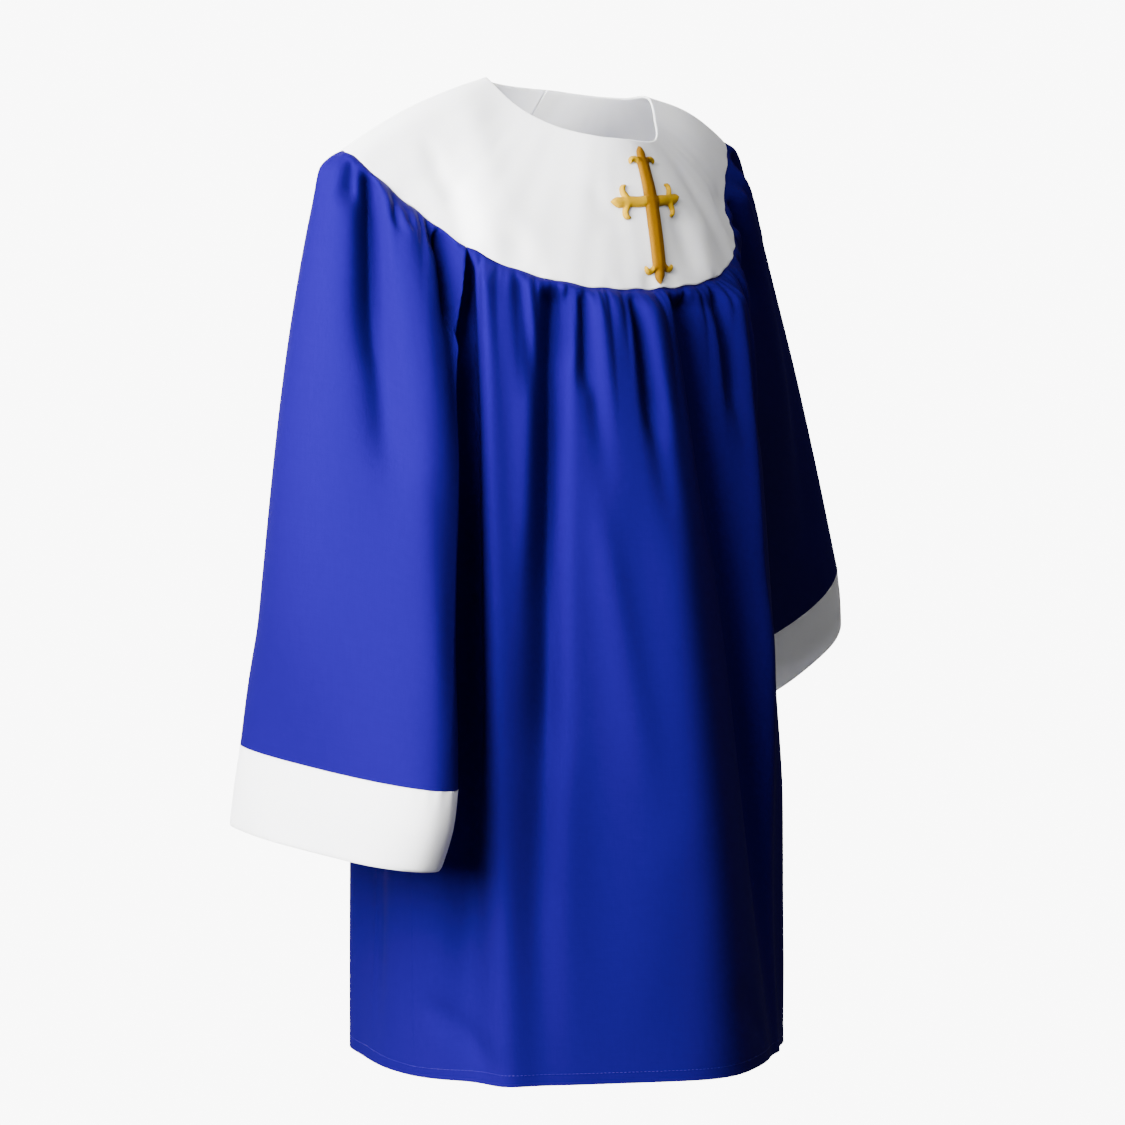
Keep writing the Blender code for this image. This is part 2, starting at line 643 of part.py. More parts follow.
def make_cross():
    """The cross, laid on the yoke's own points and moved out, with a ridge along each bar."""
    outline, ridges = cross_outline()
    points, lines = list(outline), []
    lines += [(i, (i + 1) % len(outline)) for i in range(len(outline))]
    points.append(Vector((0, 0)))
    middle = len(outline)
    for ridge in ridges:
        first = len(points)
        points += ridge
        lines += [(middle, first)] + [(first + i, first + i + 1) for i in range(len(ridge) - 1)]
    flat, _, faces, *_ = delaunay_2d_cdt(points, lines, [], 1, 1e-7)
    drop = (edge_point(0) - neck_point(0)).length

    def on_yoke(point, height):
        turned = Matrix.Rotation(-CROSS_LEAN, 2) @ point
        down = (CROSS_TOP + CROSS_ARMS_DOWN - turned.y) / drop
        scale = (yoke_point(PROBE, down) - yoke_point(-PROBE, down)).length / (2 * PROBE)
        place = (turned.x + CROSS_SHIFT + CROSS_SKEW * turned.y) / scale
        return yoke_point(place, down) + yoke_out(place, down) * height

    made = bmesh.new()
    rim = {tuple(round(value, 6) for value in point) for point in outline}
    back = [made.verts.new(on_yoke(point, SEAM_GAP)) for point in flat]
    front = []
    for point in flat:
        on_rim = tuple(round(value, 6) for value in point) in rim
        height = CROSS_EDGE_HEIGHT if on_rim else CROSS_RIDGE_HEIGHT
        front.append(made.verts.new(on_yoke(point, SEAM_GAP + height)))
    for face in faces:
        made.faces.new([front[i] for i in face])
        made.faces.new([back[i] for i in reversed(face)])
    made.edges.ensure_lookup_table()
    for edge in [edge for edge in made.edges if edge.is_boundary and edge.verts[0] in set(front)]:
        a, b = edge.verts
        made.faces.new((a, b, back[front.index(b)], back[front.index(a)]))
    bmesh.ops.recalc_face_normals(made, faces=made.faces)
    return finish("cross", made, GOLD)


for old in list(bpy.data.objects):
    bpy.data.objects.remove(old)
ROBE = bpy.data.collections.new("choir_robe")
bpy.context.scene.collection.children.link(ROBE)

make_yoke()
make_panel("front", FRONT_STEPS)
make_panel("back", BACK_STEPS)
for sleeve in SLEEVES:
    make_sleeve(sleeve)
    make_cuff(sleeve)
make_placket()
make_cross()
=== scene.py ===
# A child's choir robe, filled out as it is when worn, with nobody in it: a white yoke with an
# embroidered cross, royal blue panels and bell sleeves gathered into it, and deep white cuffs.
# Metres, +Z up. The front faces -Y, and the wearer's left side is +X.

import math
import random
from collections import namedtuple

import bpy
import numpy as np
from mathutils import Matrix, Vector
from mathutils.geometry import delaunay_2d_cdt


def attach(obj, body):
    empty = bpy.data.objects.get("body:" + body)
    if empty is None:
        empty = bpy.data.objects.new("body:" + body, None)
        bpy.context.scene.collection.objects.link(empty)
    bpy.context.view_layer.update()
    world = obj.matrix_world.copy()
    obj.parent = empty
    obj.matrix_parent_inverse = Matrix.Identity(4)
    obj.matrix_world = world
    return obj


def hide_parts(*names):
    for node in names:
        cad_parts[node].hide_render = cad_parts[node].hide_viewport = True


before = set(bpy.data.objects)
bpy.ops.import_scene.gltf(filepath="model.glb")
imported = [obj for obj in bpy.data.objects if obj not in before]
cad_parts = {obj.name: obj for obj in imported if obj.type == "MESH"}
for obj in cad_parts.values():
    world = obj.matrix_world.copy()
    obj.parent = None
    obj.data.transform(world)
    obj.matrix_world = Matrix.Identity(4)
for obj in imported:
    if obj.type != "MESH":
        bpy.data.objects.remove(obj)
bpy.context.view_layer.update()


def table(kind, *rows):
    """A table whose columns have this kind's names."""
    return [kind(*row) for row in rows]


# The yoke
# A ring of doubled white polyester, cut in one piece and open at the centre back. Its neck edge is
# turned under, and the gathers below pucker its lower edge a little.
YokeRow = namedtuple("YokeRow", "round neck_x neck_y neck_z edge_x edge_y edge_z crown")
YOKE = table(
    YokeRow,
    (0.0, 0.0, -0.0533, -0.0405, 0.0, -0.1003, -0.1597, 0.003),
    (0.25, 0.03, -0.046, -0.04, 0.073, -0.0895, -0.1545, 0.004),
    (0.5, 0.056, -0.027, -0.0345, 0.134, -0.052, -0.134, 0.005),
    (0.75, 0.0755, -0.005, -0.0215, 0.17, -0.002, -0.095, 0.006),
    (1.0, 0.0884, 0.018, 0.0, 0.2085, 0.0417, -0.0475, 0.006),
    (1.25, 0.074, 0.031, -0.0015, 0.17, 0.08, -0.08, 0.006),
    (1.5, 0.052, 0.0365, -0.0025, 0.115, 0.108, -0.112, 0.006),
    (1.75, 0.027, 0.0385, -0.0025, 0.057, 0.119, -0.125, 0.005),
    (2.0, 0.0, 0.0392, -0.002, 0.0, 0.122, -0.13, 0.005),
)
NECK_SLIDE = 0.012
NECK_ROLL = -0.10
SCALLOP = 0.0007
YOKE_CLOTH = 0.0020
YOKE_ENDS = 1.998
YOKE_AROUND = 0.20
YOKE_DEEP = 0.13
PUCKER = 0.0005
PUCKER_FROM = 0.93
RIM_SHARE = 0.008
RIM_ROUNDING = 0.0006
RIM_THINNING = 0.0016
SEAM_GAP = 0.0003
PROBE = 0.002

# Soft creases: where each one starts and ends on the cloth, how wide it is there, and how high.
Crease = namedtuple("Crease", "across down end_across end_down wide end_wide height")
YOKE_CREASES = table(
    Crease,
    (-0.6, 0.99, -0.72, 0.72, 0.01, 0.008, -0.004),
    (-0.72, 0.8, -0.86, 0.62, 0.008, 0.006, -0.0022),
    (-0.5, 1.0, -0.62, 0.7, 0.01, 0.012, 0.003),
    (-0.42, 1.0, -0.46, 0.8, 0.008, 0.008, -0.002),
    (-0.92, 0.2, -0.4, 0.9, 0.016, 0.02, 0.0034),
    (-0.5, 0.2, -0.15, 0.8, 0.03, 0.04, -0.0022),
    (0.03, 0.2, 0.06, 1.0, 0.016, 0.022, 0.0026),
    (-0.24, 0.35, -0.14, 0.6, 0.008, 0.012, -0.0012),
    (-0.03, 1.0, -0.02, 0.88, 0.004, 0.003, -0.0016),
    (0.16, 0.5, 0.14, 0.92, 0.012, 0.016, -0.0024),
    (0.3, 0.62, 0.24, 0.98, 0.014, 0.018, 0.0022),
    (0.42, 0.3, 0.4, 0.95, 0.014, 0.016, -0.0018),
    (0.72, 0.98, 0.6, 0.7, 0.012, 0.01, -0.0026),
    (1.35, 0.98, 1.25, 0.65, 0.014, 0.01, -0.0028),
    (1.72, 0.95, 1.66, 0.55, 0.012, 0.016, -0.0022),
    (1.55, 0.9, 1.4, 0.4, 0.018, 0.022, 0.0026),
    (-1.4, 0.98, -1.3, 0.6, 0.014, 0.01, -0.003),
    (-1.7, 0.98, -1.78, 0.5, 0.014, 0.018, -0.0022),
    (-1.55, 0.35, -1.7, 0.85, 0.02, 0.026, 0.0024),
)


def ring_of(rows):
    """The yoke's rows all the way round, and a little past the centre back at both ends."""
    right = [row._replace(round=-row.round, neck_x=-row.neck_x, edge_x=-row.edge_x) for row in rows[:0:-1]]
    ring = right + list(rows)
    before = [row._replace(round=row.round - 4) for row in ring[-3:-1]]
    after = [row._replace(round=row.round + 4) for row in ring[1:3]]
    return before + ring + after


YOKE_RING = ring_of(YOKE)


def column(name, place):
    """One column of the yoke's table, read along a smooth curve at many places."""
    keys = np.array([row.round for row in YOKE_RING])
    values = np.array([getattr(row, name) for row in YOKE_RING])
    slopes = np.gradient(values, keys)
    slopes[1:-1] = (values[2:] - values[:-2]) / (keys[2:] - keys[:-2])
    low = np.clip(np.searchsorted(keys, place, side="right") - 1, 0, len(keys) - 2)
    span = keys[low + 1] - keys[low]
    t = (place - keys[low]) / span
    return (
        values[low] * (1 + 2 * t) * (1 - t) ** 2
        + values[low + 1] * t * t * (3 - 2 * t)
        + span * (slopes[low] * t * (1 - t) ** 2 - slopes[low + 1] * t * t * (1 - t))
    )


def unit(vectors):
    """The same vectors at length 1."""
    return vectors / np.maximum(np.linalg.norm(vectors, axis=-1, keepdims=True), 1e-12)


def ease(t):
    """From 0 to 1 with level ends."""
    t = np.clip(t, 0.0, 1.0)
    return t * t * (3 - 2 * t)


def neck_edge(place):
    """The neck edge, slid and rolled on the shoulders."""
    x = column("neck_x", place)
    return np.stack([x + NECK_SLIDE, column("neck_y", place), column("neck_z", place) + NECK_ROLL * x], -1)


def lower_edge(place):
    """The yoke's lower edge."""
    edge = np.stack([column("edge_" + axis, place) for axis in "xyz"], -1)
    edge[..., 2] += SCALLOP * np.sin(57 * place + 1.5 * np.sin(8 * place))
    return edge


def smooth_yoke(place, down):
    """The yoke's outer face without its creases."""
    neck, edge = neck_edge(place), lower_edge(place)
    out = unit(np.cross(edge - neck, lower_edge(place + PROBE) - lower_edge(place - PROBE)))
    share = np.asarray(down)[..., None]
    return neck + (edge - neck) * share + out * column("crown", place)[..., None] * np.sin(math.pi * share)


def creases_height(creases, across, down, width, length):
    """How far the creases lift a cloth of this width and length. They fade at both their ends."""
    height = np.zeros(np.broadcast(across, down).shape)
    for crease in creases:
        run = np.array([crease.end_across - crease.across, crease.end_down - crease.down]) * (width, length)
        x, y = (across - crease.across) * width, (down - crease.down) * length
        along = (x * run[0] + y * run[1]) / (run @ run)
        aside = (x * run[1] - y * run[0]) / math.sqrt(run @ run)
        wide = crease.wide + (crease.end_wide - crease.wide) * np.clip(along, 0, 1)
        fade = ease((along + 0.25) / 0.5) * ease((1.25 - along) / 0.5)
        height = height + crease.height * np.exp(-((aside / wide) ** 2)) * fade
    return height


def way_out(face, flip, closed=False):
    """The way out of a grid of points at each of them."""
    if closed:
        face = np.concatenate([face[:, -1:], face, face[:, :1]], axis=1)
    out = np.cross(np.gradient(face, axis=0), np.gradient(face, axis=1))
    out = unit(-out if flip else out)
    return out[:, 1:-1] if closed else out


def cloth_piece(name, face, out, thickness, grain, flip=False, closed=False):
    """A wall of cloth with a rim round its open edges. Grain is the place on the flat cloth, in metres."""
    rows, columns = face.shape[:2]
    count = rows * columns
    thickness = np.broadcast_to(thickness, (rows, columns))[..., None]
    points = np.concatenate([face.reshape(-1, 3), (face - out * thickness).reshape(-1, 3)])
    number = np.arange(count).reshape(rows, columns)
    if closed:
        number = np.concatenate([number, number[:, :1]], axis=1)
    quads = np.stack([number[:-1, :-1], number[1:, :-1], number[1:, 1:], number[:-1, 1:]], -1).reshape(-1, 4)
    inner = quads[:, ::-1] + count
    if closed:
        top, bottom = number[0], number[-1]
        edges = np.concatenate([np.stack([top[:-1], top[1:]], -1), np.stack([bottom[1:], bottom[:-1]], -1)])
    else:
        loop = np.concatenate([number[0], number[1:, -1], number[-1, -2::-1], number[-2::-1, 0]])
        edges = np.stack([loop[:-1], loop[1:]], -1)
    rim = np.stack([edges[:, 0], edges[:, 1], edges[:, 1] + count, edges[:, 0] + count], -1)
    faces = np.concatenate([quads, inner, rim])
    if flip:
        faces = faces[:, ::-1]
    mesh = bpy.data.meshes.new(name)
    mesh.from_pydata(points.tolist(), [], faces.tolist())
    flat = mesh.uv_layers.new(name="grain")
    places = np.concatenate([grain.reshape(-1, 2), grain.reshape(-1, 2)])
    flat.data.foreach_set("uv", places[faces.ravel()].ravel())
    mesh.shade_smooth()
    mesh.set_sharp_from_angle(angle=math.radians(60))
    return put_in_scene(name, mesh)


def link(tree, source, output, target, entry):
    """Join one node's output to another's input."""
    tree.links.new(source.outputs[output], target.inputs[entry])


def set_inputs(node, values):
    """Give a node's inputs their values."""
    for entry, value in values.items():
        node.inputs[entry].default_value = value


def calculate(tree, operation, first, output, second=None, constant=None):
    """A sum of one kind on a node's output, with another node's first output or a constant."""
    node = tree.nodes.new("ShaderNodeMath")
    node.operation = operation
    link(tree, first, output, node, 0)
    if second:
        link(tree, second, 0, node, 1)
    if constant is not None:
        node.inputs[1].default_value = constant
    return node


def add_sockets(tree, way, kinds):
    """Entries or outputs of a node group, by name and kind."""
    for name, kind in kinds.items():
        tree.interface.new_socket(name, in_out=way, socket_type="NodeSocket" + kind)


def principled(name):
    """A new material, its nodes and its shader."""
    material = bpy.data.materials.new(name)
    material.use_nodes = True
    return material, material.node_tree, material.node_tree.nodes["Principled BSDF"]


def put_in_scene(name, data):
    """A new object in the scene."""
    piece = bpy.data.objects.new(name, data)
    bpy.context.scene.collection.objects.link(piece)
    return piece


def make_weave():
    """Plain weave: the threads' height, and a mask of the slightly thicker and paler threads."""
    tree = bpy.data.node_groups.new("plain_weave", "ShaderNodeTree")
    add_sockets(tree, "INPUT", {"Grain": "Vector", "Threads": "Float"})
    add_sockets(tree, "OUTPUT", {"Height": "Float", "Slubs": "Float"})
    entry, leave = tree.nodes.new("NodeGroupInput"), tree.nodes.new("NodeGroupOutput")
    scaled = tree.nodes.new("ShaderNodeVectorMath")
    scaled.operation = "SCALE"
    link(tree, entry, "Grain", scaled, 0)
    link(tree, entry, "Threads", scaled, "Scale")
    parts = tree.nodes.new("ShaderNodeSeparateXYZ")
    link(tree, scaled, 0, parts, 0)
    waves = []
    for axis in ("X", "Y"):
        turn = calculate(tree, "MULTIPLY", parts, axis, constant=math.pi)
        waves.append(calculate(tree, "SINE", turn, 0))
    link(tree, calculate(tree, "MULTIPLY", waves[0], 0, waves[1]), 0, leave, "Height")
    slubs = []
    for stretch in ((0.6, 0.02, 1.0), (0.02, 0.6, 1.0)):
        longer = tree.nodes.new("ShaderNodeVectorMath")
        longer.operation = "MULTIPLY"
        longer.inputs[1].default_value = stretch
        link(tree, scaled, 0, longer, 0)
        noise = tree.nodes.new("ShaderNodeTexNoise")
        set_inputs(noise, {"Scale": 1.0, "Detail": 1.0})
        link(tree, longer, 0, noise, "Vector")
        slubs.append(noise)
    link(tree, calculate(tree, "MULTIPLY", slubs[0], 0, slubs[1]), 0, leave, "Slubs")
    return tree


WEAVE = make_weave()


def grain_of(tree):
    """The place on the flat cloth."""
    grain = tree.nodes.new("ShaderNodeUVMap")
    grain.uv_map = "grain"
    return grain


def bump_from(tree, source, output, distance, strength, shader):
    """Relief from a node's output, on the shader."""
    bump = tree.nodes.new("ShaderNodeBump")
    set_inputs(bump, {"Distance": distance, "Strength": strength})
    link(tree, source, output, bump, "Height")
    link(tree, bump, "Normal", shader, "Normal")


def cloth_material(name, colour, slub_colour, shine, roughness, sheen, glow=0.0):
    """Woven cloth: its colour with paler slubs, a weave in its bump, and the nap's faint sheen."""
    material, tree, shader = principled(name)
    set_inputs(shader, {
        "Roughness": roughness,
        "Sheen Weight": sheen,
        "Sheen Roughness": 0.45,
        "Sheen Tint": slub_colour,
        "Specular IOR Level": 0.2,
        "Specular Tint": shine,
        "Subsurface Weight": glow,
        "Subsurface Radius": (1.0, 1.0, 1.1),
        "Subsurface Scale": 0.0030,
    })
    weave = tree.nodes.new("ShaderNodeGroup")
    weave.node_tree = WEAVE
    weave.inputs["Threads"].default_value = THREADS_PER_METRE
    link(tree, grain_of(tree), "UV", weave, "Grain")
    shade = tree.nodes.new("ShaderNodeMapRange")
    set_inputs(shade, {"From Min": 0.18, "From Max": 0.36})
    link(tree, weave, "Slubs", shade, "Value")
    mix = tree.nodes.new("ShaderNodeMix")
    mix.data_type = "RGBA"
    set_inputs(mix, {"A": colour, "B": slub_colour})
    link(tree, calculate(tree, "MULTIPLY", shade, 0, constant=SLUB_STRENGTH), 0, mix, "Factor")
    link(tree, mix, "Result", shader, "Base Color")
    bump_from(tree, weave, "Height", THREAD_HEIGHT, 0.6, shader)
    return material


THREADS_PER_METRE = 1700
THREAD_HEIGHT = 0.00006
SLUB_STRENGTH = 0.10
WHITE_CLOTH = cloth_material("white_cloth", colour=(0.84, 0.84, 0.87, 1),
                             slub_colour=(0.90, 0.90, 0.92, 1), shine=(1, 1, 1, 1),
                             roughness=0.75, sheen=0.05, glow=0.8)

yoke_places = np.linspace(-YOKE_ENDS, YOKE_ENDS, 260)
yoke_downs = np.concatenate([[0, 0.003, 0.007, 0.012], np.linspace(0.02, 0.98, 42), [0.988, 0.993, 0.997, 1]])
place, down = np.meshgrid(yoke_places, yoke_downs)
yoke_face = smooth_yoke(place, down)
yoke_outs = way_out(yoke_face, False)
pucker = PUCKER * np.sin(place * 88) * (1 + 0.6 * np.sin(place * 31))
pucker = pucker * ease((down - PUCKER_FROM) / (1 - PUCKER_FROM))
lift = creases_height(YOKE_CREASES, place, down, YOKE_AROUND, YOKE_DEEP) + pucker
yoke_face = yoke_face + yoke_outs * (lift * ease(down / 0.05))[..., None]
yoke_outs = way_out(yoke_face, False)
yoke_rim = np.clip(1 - np.minimum(down, 1 - down) / RIM_SHARE, 0, 1) ** 2
yoke_face = yoke_face - yoke_outs * (RIM_ROUNDING * yoke_rim)[..., None]
yoke = cloth_piece("yoke_cloth", yoke_face, yoke_outs, YOKE_CLOTH - RIM_THINNING * yoke_rim,
                   np.stack([place * 0.16, down * YOKE_DEEP], -1))
yoke.data.materials.append(WHITE_CLOTH)
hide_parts("yoke")
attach(yoke, "root")

# The strip behind the centre-back opening
# A straight strip of white cloth sewn inside the yoke, which closes on the other side of the
# opening. Through the neck it shows as a band that stands a little higher than the rim.
PLACKET_WIDTH = 0.018
PLACKET_SET_IN = 0.0008
PLACKET_CLOTH = 0.0013
PLACKET_STANDS_UP = 0.0015
PLACKET_REACH = 0.95


def yoke_ways(place, down):
    """The way around the yoke and the way down it, as short steps between two points each."""
    around = smooth_yoke(place + PROBE, down) - smooth_yoke(place - PROBE, down)
    return around, smooth_yoke(place, down + PROBE) - smooth_yoke(place, down - PROBE)


def place_scale(place, down):
    """How many metres a step of 1 in place is there."""
    return np.linalg.norm(yoke_ways(place, down)[0], axis=-1) / (2 * PROBE)


def placket_point(across, down):
    """The strip's outer face, just inside the yoke."""
    place = 2 + across * PLACKET_WIDTH / place_scale(np.array(2.0), down)
    around, fall = yoke_ways(place, down)
    inwards = unit(np.cross(fall, around)) * (YOKE_CLOTH + PLACKET_SET_IN)
    rise = PLACKET_STANDS_UP * (1 - ease(down / 0.06))
    return smooth_yoke(place, down) - inwards - unit(fall) * rise[..., None]


across, down = np.meshgrid(np.linspace(-0.5, 0.5, 13), np.linspace(0, PLACKET_REACH, 60))
placket_face = placket_point(across, down)
placket = cloth_piece("placket_cloth", placket_face, way_out(placket_face, False), PLACKET_CLOTH,
                      np.stack([across * PLACKET_WIDTH, down * 0.15], -1))
placket.data.materials.append(WHITE_CLOTH)
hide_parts("back_placket")
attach(placket, "root")

# The embroidered cross
# Satin stitch in golden thread over padding, worked on the front of the yoke: straight bars with a
# ridge along the middle, and a pointed leaf between two curls at each end.
CROSS_TOP = 0.0055
CROSS_LENGTH = 0.121
CROSS_ARMS_DOWN = 0.050
CROSS_ARM_REACH = 0.0385
CROSS_UPRIGHT_HALF = 0.0066
CROSS_ARM_HALF = 0.0048
CROSS_LEAN = math.radians(-1.5)
CROSS_SKEW = 0.08
CROSS_SHIFT = 0.007
CROSS_EDGE_HEIGHT = 0.0008
CROSS_PAD_RISE = 0.0018
CROSS_PAD_SIDE = 0.0022
CROSS_RIDGE_RISE = 0.0012
CROSS_GRID = 0.0009
CROSS_END_LENGTH = 0.0175
CROSS_STEP = 0.0015
EndRow = namedtuple("EndRow", "back across")
CROSS_END = table(
    EndRow,
    (0.0162, 0.0072),
    (0.015, 0.0092),
    (0.0153, 0.0118),
    (0.0172, 0.0138),
    (0.0158, 0.0151),
    (0.013, 0.015),
    (0.0108, 0.0134),
    (0.0097, 0.0108),
    (0.0098, 0.0078),
    (0.011, 0.0046),
    (0.0094, 0.0046),
    (0.0072, 0.0047),
    (0.0048, 0.004),
    (0.0022, 0.0022),
)


def cross_outline():
    """The cross, flat, with +Y towards the neck, going round it from arm to arm."""
    arms = (
        (np.array([0, 1]), CROSS_ARMS_DOWN, CROSS_UPRIGHT_HALF, CROSS_ARM_HALF),
        (np.array([1, 0]), CROSS_ARM_REACH, CROSS_ARM_HALF, CROSS_UPRIGHT_HALF),
        (np.array([0, -1]), CROSS_LENGTH - CROSS_ARMS_DOWN, CROSS_UPRIGHT_HALF, CROSS_ARM_HALF),
        (np.array([-1, 0]), CROSS_ARM_REACH, CROSS_ARM_HALF, CROSS_UPRIGHT_HALF),
    )
    outline = []
    for way, reach, half, start in arms:
        side = np.array([way[1], -way[0]])
        bar_end = reach - CROSS_END_LENGTH
        steps = max(round((bar_end - start) / CROSS_STEP), 1)
        line = [(start + (bar_end - start) * i / steps, half) for i in range(steps + 1)]
        line += [(reach - row.back, row.across) for row in CROSS_END]
        outline += [way * far - side * wide for far, wide in line[1:]]
        outline.append(way * reach)
        outline += [way * far + side * wide for far, wide in line[::-1]]
    return np.array(outline)


def inside_and_distance(points, outline):
    """Which points lie in the outline, and how far each one is from it."""
    start, end = outline, np.roll(outline, -1, axis=0)
    run = end - start
    offset = points[:, None] - start[None]
    share = np.clip((offset * run).sum(-1) / (run * run).sum(-1), 0, 1)
    distance = np.linalg.norm(offset - share[..., None] * run, axis=-1).min(1)
    above = (start[None, :, 1] > points[:, None, 1]) != (end[None, :, 1] > points[:, None, 1])
    rise = np.where(run[:, 1] == 0, 1, run[:, 1])
    crossing = start[:, 0] + (points[:, None, 1] - start[:, 1]) / rise * run[:, 0]
    return (above & (points[:, None, 0] < crossing)).sum(1) % 2 == 1, distance


outline = cross_outline()
steps = round(CROSS_LENGTH / CROSS_GRID)
lines = np.arange(-steps, steps + 1) * CROSS_GRID
grid = np.stack(np.meshgrid(lines, lines), -1).reshape(-1, 2)
inside, distance = inside_and_distance(grid, outline)
filling = grid[inside & (distance > CROSS_GRID * 0.6)]
flat_points = [Vector(point) for point in np.concatenate([outline, filling])]
rim_lines = [(i, (i + 1) % len(outline)) for i in range(len(outline))]
flat_points, _, cross_faces, *_ = delaunay_2d_cdt(flat_points, rim_lines, [], 1, 1e-8)
flat_points = np.array([tuple(point) for point in flat_points])
_, distance = inside_and_distance(flat_points, outline)
roof = CROSS_EDGE_HEIGHT * (distance > 1e-6)
roof = roof + CROSS_PAD_RISE * np.sqrt(np.minimum(distance / CROSS_PAD_SIDE, 1))
roof = roof + CROSS_RIDGE_RISE * np.minimum(distance / CROSS_UPRIGHT_HALF, 1)
yoke_depth = np.linalg.norm(lower_edge(np.array(0.0)) - neck_edge(np.array(0.0)))


def on_yoke(flat, height):
    """A flat point of the cross, laid on the yoke's front."""
    turned_x = flat[:, 0] * math.cos(CROSS_LEAN) + flat[:, 1] * math.sin(CROSS_LEAN)
    turned_y = flat[:, 1] * math.cos(CROSS_LEAN) - flat[:, 0] * math.sin(CROSS_LEAN)
    down = (CROSS_TOP + CROSS_ARMS_DOWN - turned_y) / yoke_depth
    place = (turned_x + CROSS_SHIFT + CROSS_SKEW * turned_y) / place_scale(np.zeros_like(down), down)
    around, fall = yoke_ways(place, down)
    out = unit(np.cross(fall, around))
    creased = creases_height(YOKE_CREASES, place, down, YOKE_AROUND, YOKE_DEEP)
    return smooth_yoke(place, down) + out * (creased + height)[:, None]


def make_cross():
    """The cross's mesh, with the way along each bar kept for the thread."""
    count = len(flat_points)
    underside = on_yoke(flat_points, np.full(count, SEAM_GAP))
    points = np.concatenate([on_yoke(flat_points, SEAM_GAP + roof), underside])
    faces = [tuple(face) for face in cross_faces]
    faces += [tuple(i + count for i in reversed(face)) for face in cross_faces]
    edges = {(a, b) for face in cross_faces for a, b in zip(face, list(face[1:]) + [face[0]])}
    faces += [(b, a, a + count, b + count) for a, b in edges if (b, a) not in edges]
    mesh = bpy.data.meshes.new("cross_thread")
    mesh.from_pydata(points.tolist(), [], faces)
    upright = np.abs(flat_points[:, 0]) <= np.abs(flat_points[:, 1])
    run = np.where(upright, flat_points[:, 1], flat_points[:, 0])
    aside = np.where(upright, flat_points[:, 0], flat_points[:, 1])
    grain = np.tile(np.stack([run + np.abs(aside) * 0.35, aside], -1), (2, 1))
    # The arms and the curls are marked for a paler thread colour, a painted sheen where the threads lie
    # across the light.
    painted_sheen_mask = np.abs(flat_points[:, 0]) > CROSS_UPRIGHT_HALF
    painted_sheen = mesh.attributes.new("painted_sheen", "FLOAT", "POINT")
    painted_sheen.data.foreach_set("value", np.tile(painted_sheen_mask.astype(float), 2))
    layer = mesh.uv_layers.new(name="grain")
    corners = np.zeros(len(mesh.loops), dtype=np.int32)
    mesh.loops.foreach_get("vertex_index", corners)
    layer.data.foreach_set("uv", grain[corners].ravel())
    mesh.shade_smooth()
    mesh.set_sharp_from_angle(angle=math.radians(50))
    return put_in_scene("cross_thread", mesh)


def colour_ramp(tree, source, dark, light):
    """Two colours mixed by a texture."""
    ramp = tree.nodes.new("ShaderNodeValToRGB")
    ramp.color_ramp.elements[0].color = dark
    ramp.color_ramp.elements[1].color = light
    link(tree, source, "Fac", ramp, "Fac")
    return ramp


def thread_material():
    """Golden thread in satin stitch. On the arms and the curls, where the threads lie across the light, its
    colour is paler: a painted sheen.
    """
    material, tree, shader = principled("gold_thread")
    set_inputs(shader, {"Specular IOR Level": 0.4, "Specular Tint": (1.0, 0.55, 0.06, 1)})
    threads = tree.nodes.new("ShaderNodeTexWave")
    threads.bands_direction = "X"
    set_inputs(threads, {"Scale": 460.0, "Distortion": 1.2, "Detail": 1.5, "Detail Scale": 2.0})
    link(tree, grain_of(tree), "UV", threads, "Vector")
    # The thread's colour follows the stitch bands of the bump: it is darker in the low grooves between the
    # threads, which is painted shade.
    ramp = colour_ramp(tree, threads, (0.110, 0.044, 0.0001, 1), (0.200, 0.090, 0.0002, 1))
    # The paler colour on the arms and the curls is painted sheen.
    painted_sheen = tree.nodes.new("ShaderNodeAttribute")
    painted_sheen.attribute_name = "painted_sheen"
    painted_sheen_mix = tree.nodes.new("ShaderNodeMix")
    painted_sheen_mix.data_type = "RGBA"
    painted_sheen_mix.inputs["B"].default_value = (0.370, 0.210, 0.0001, 1)
    link(tree, painted_sheen, "Fac", painted_sheen_mix, "Factor")
    link(tree, ramp, "Color", painted_sheen_mix, "A")
    link(tree, painted_sheen_mix, "Result", shader, "Base Color")
    gloss = tree.nodes.new("ShaderNodeMapRange")
    set_inputs(gloss, {"To Min": 0.55, "To Max": 0.38})
    link(tree, threads, "Fac", gloss, "Value")
    link(tree, gloss, 0, shader, "Roughness")
    bump_from(tree, threads, "Fac", 0.00018, 0.8, shader)
    return material


cross = make_cross()
cross.data.materials.append(thread_material())
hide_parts("cross")
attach(cross, "root")

# The front and back panels
# Two wide pieces of blue polyester, gathered by hand into the yoke between the armholes. They hang
# from the gathers in long uneven folds to a narrow turned hem, and meet in plain side seams.
PANEL_CLOTH = 0.0013
GATHERED_SHARE = 0.72
FRONT_ARMHOLE = 0.58
BACK_ARMHOLE = 1.42
UNDERARM = np.array([0.150, 0.035, -0.235])
HEM_HALF_WIDTH = 0.174
HEM_FRONT_DEPTH = 0.183
HEM_BACK_DEPTH = 0.178
HEM_HEIGHT = -0.795
HEM_RISE = 0.005
HEM_TILT = 0.006
STAND_OFF = 0.014
STAND_OFF_FALL = 0.022
PANEL_CROWN = 0.007
HELD_FROM = 0.45
SIDE_OVERLAP = 0.0003
PANEL_HALF_WIDTH = 0.30
PANEL_HALF_ROUND = 0.28
PANEL_LENGTH = 0.66
PANEL_HANGS = 0.64
SEAM_SINK = 0.0012
SEAM_SINK_REACH = 0.004
FOLDS_START = 0.03
CREASES_START = 0.02

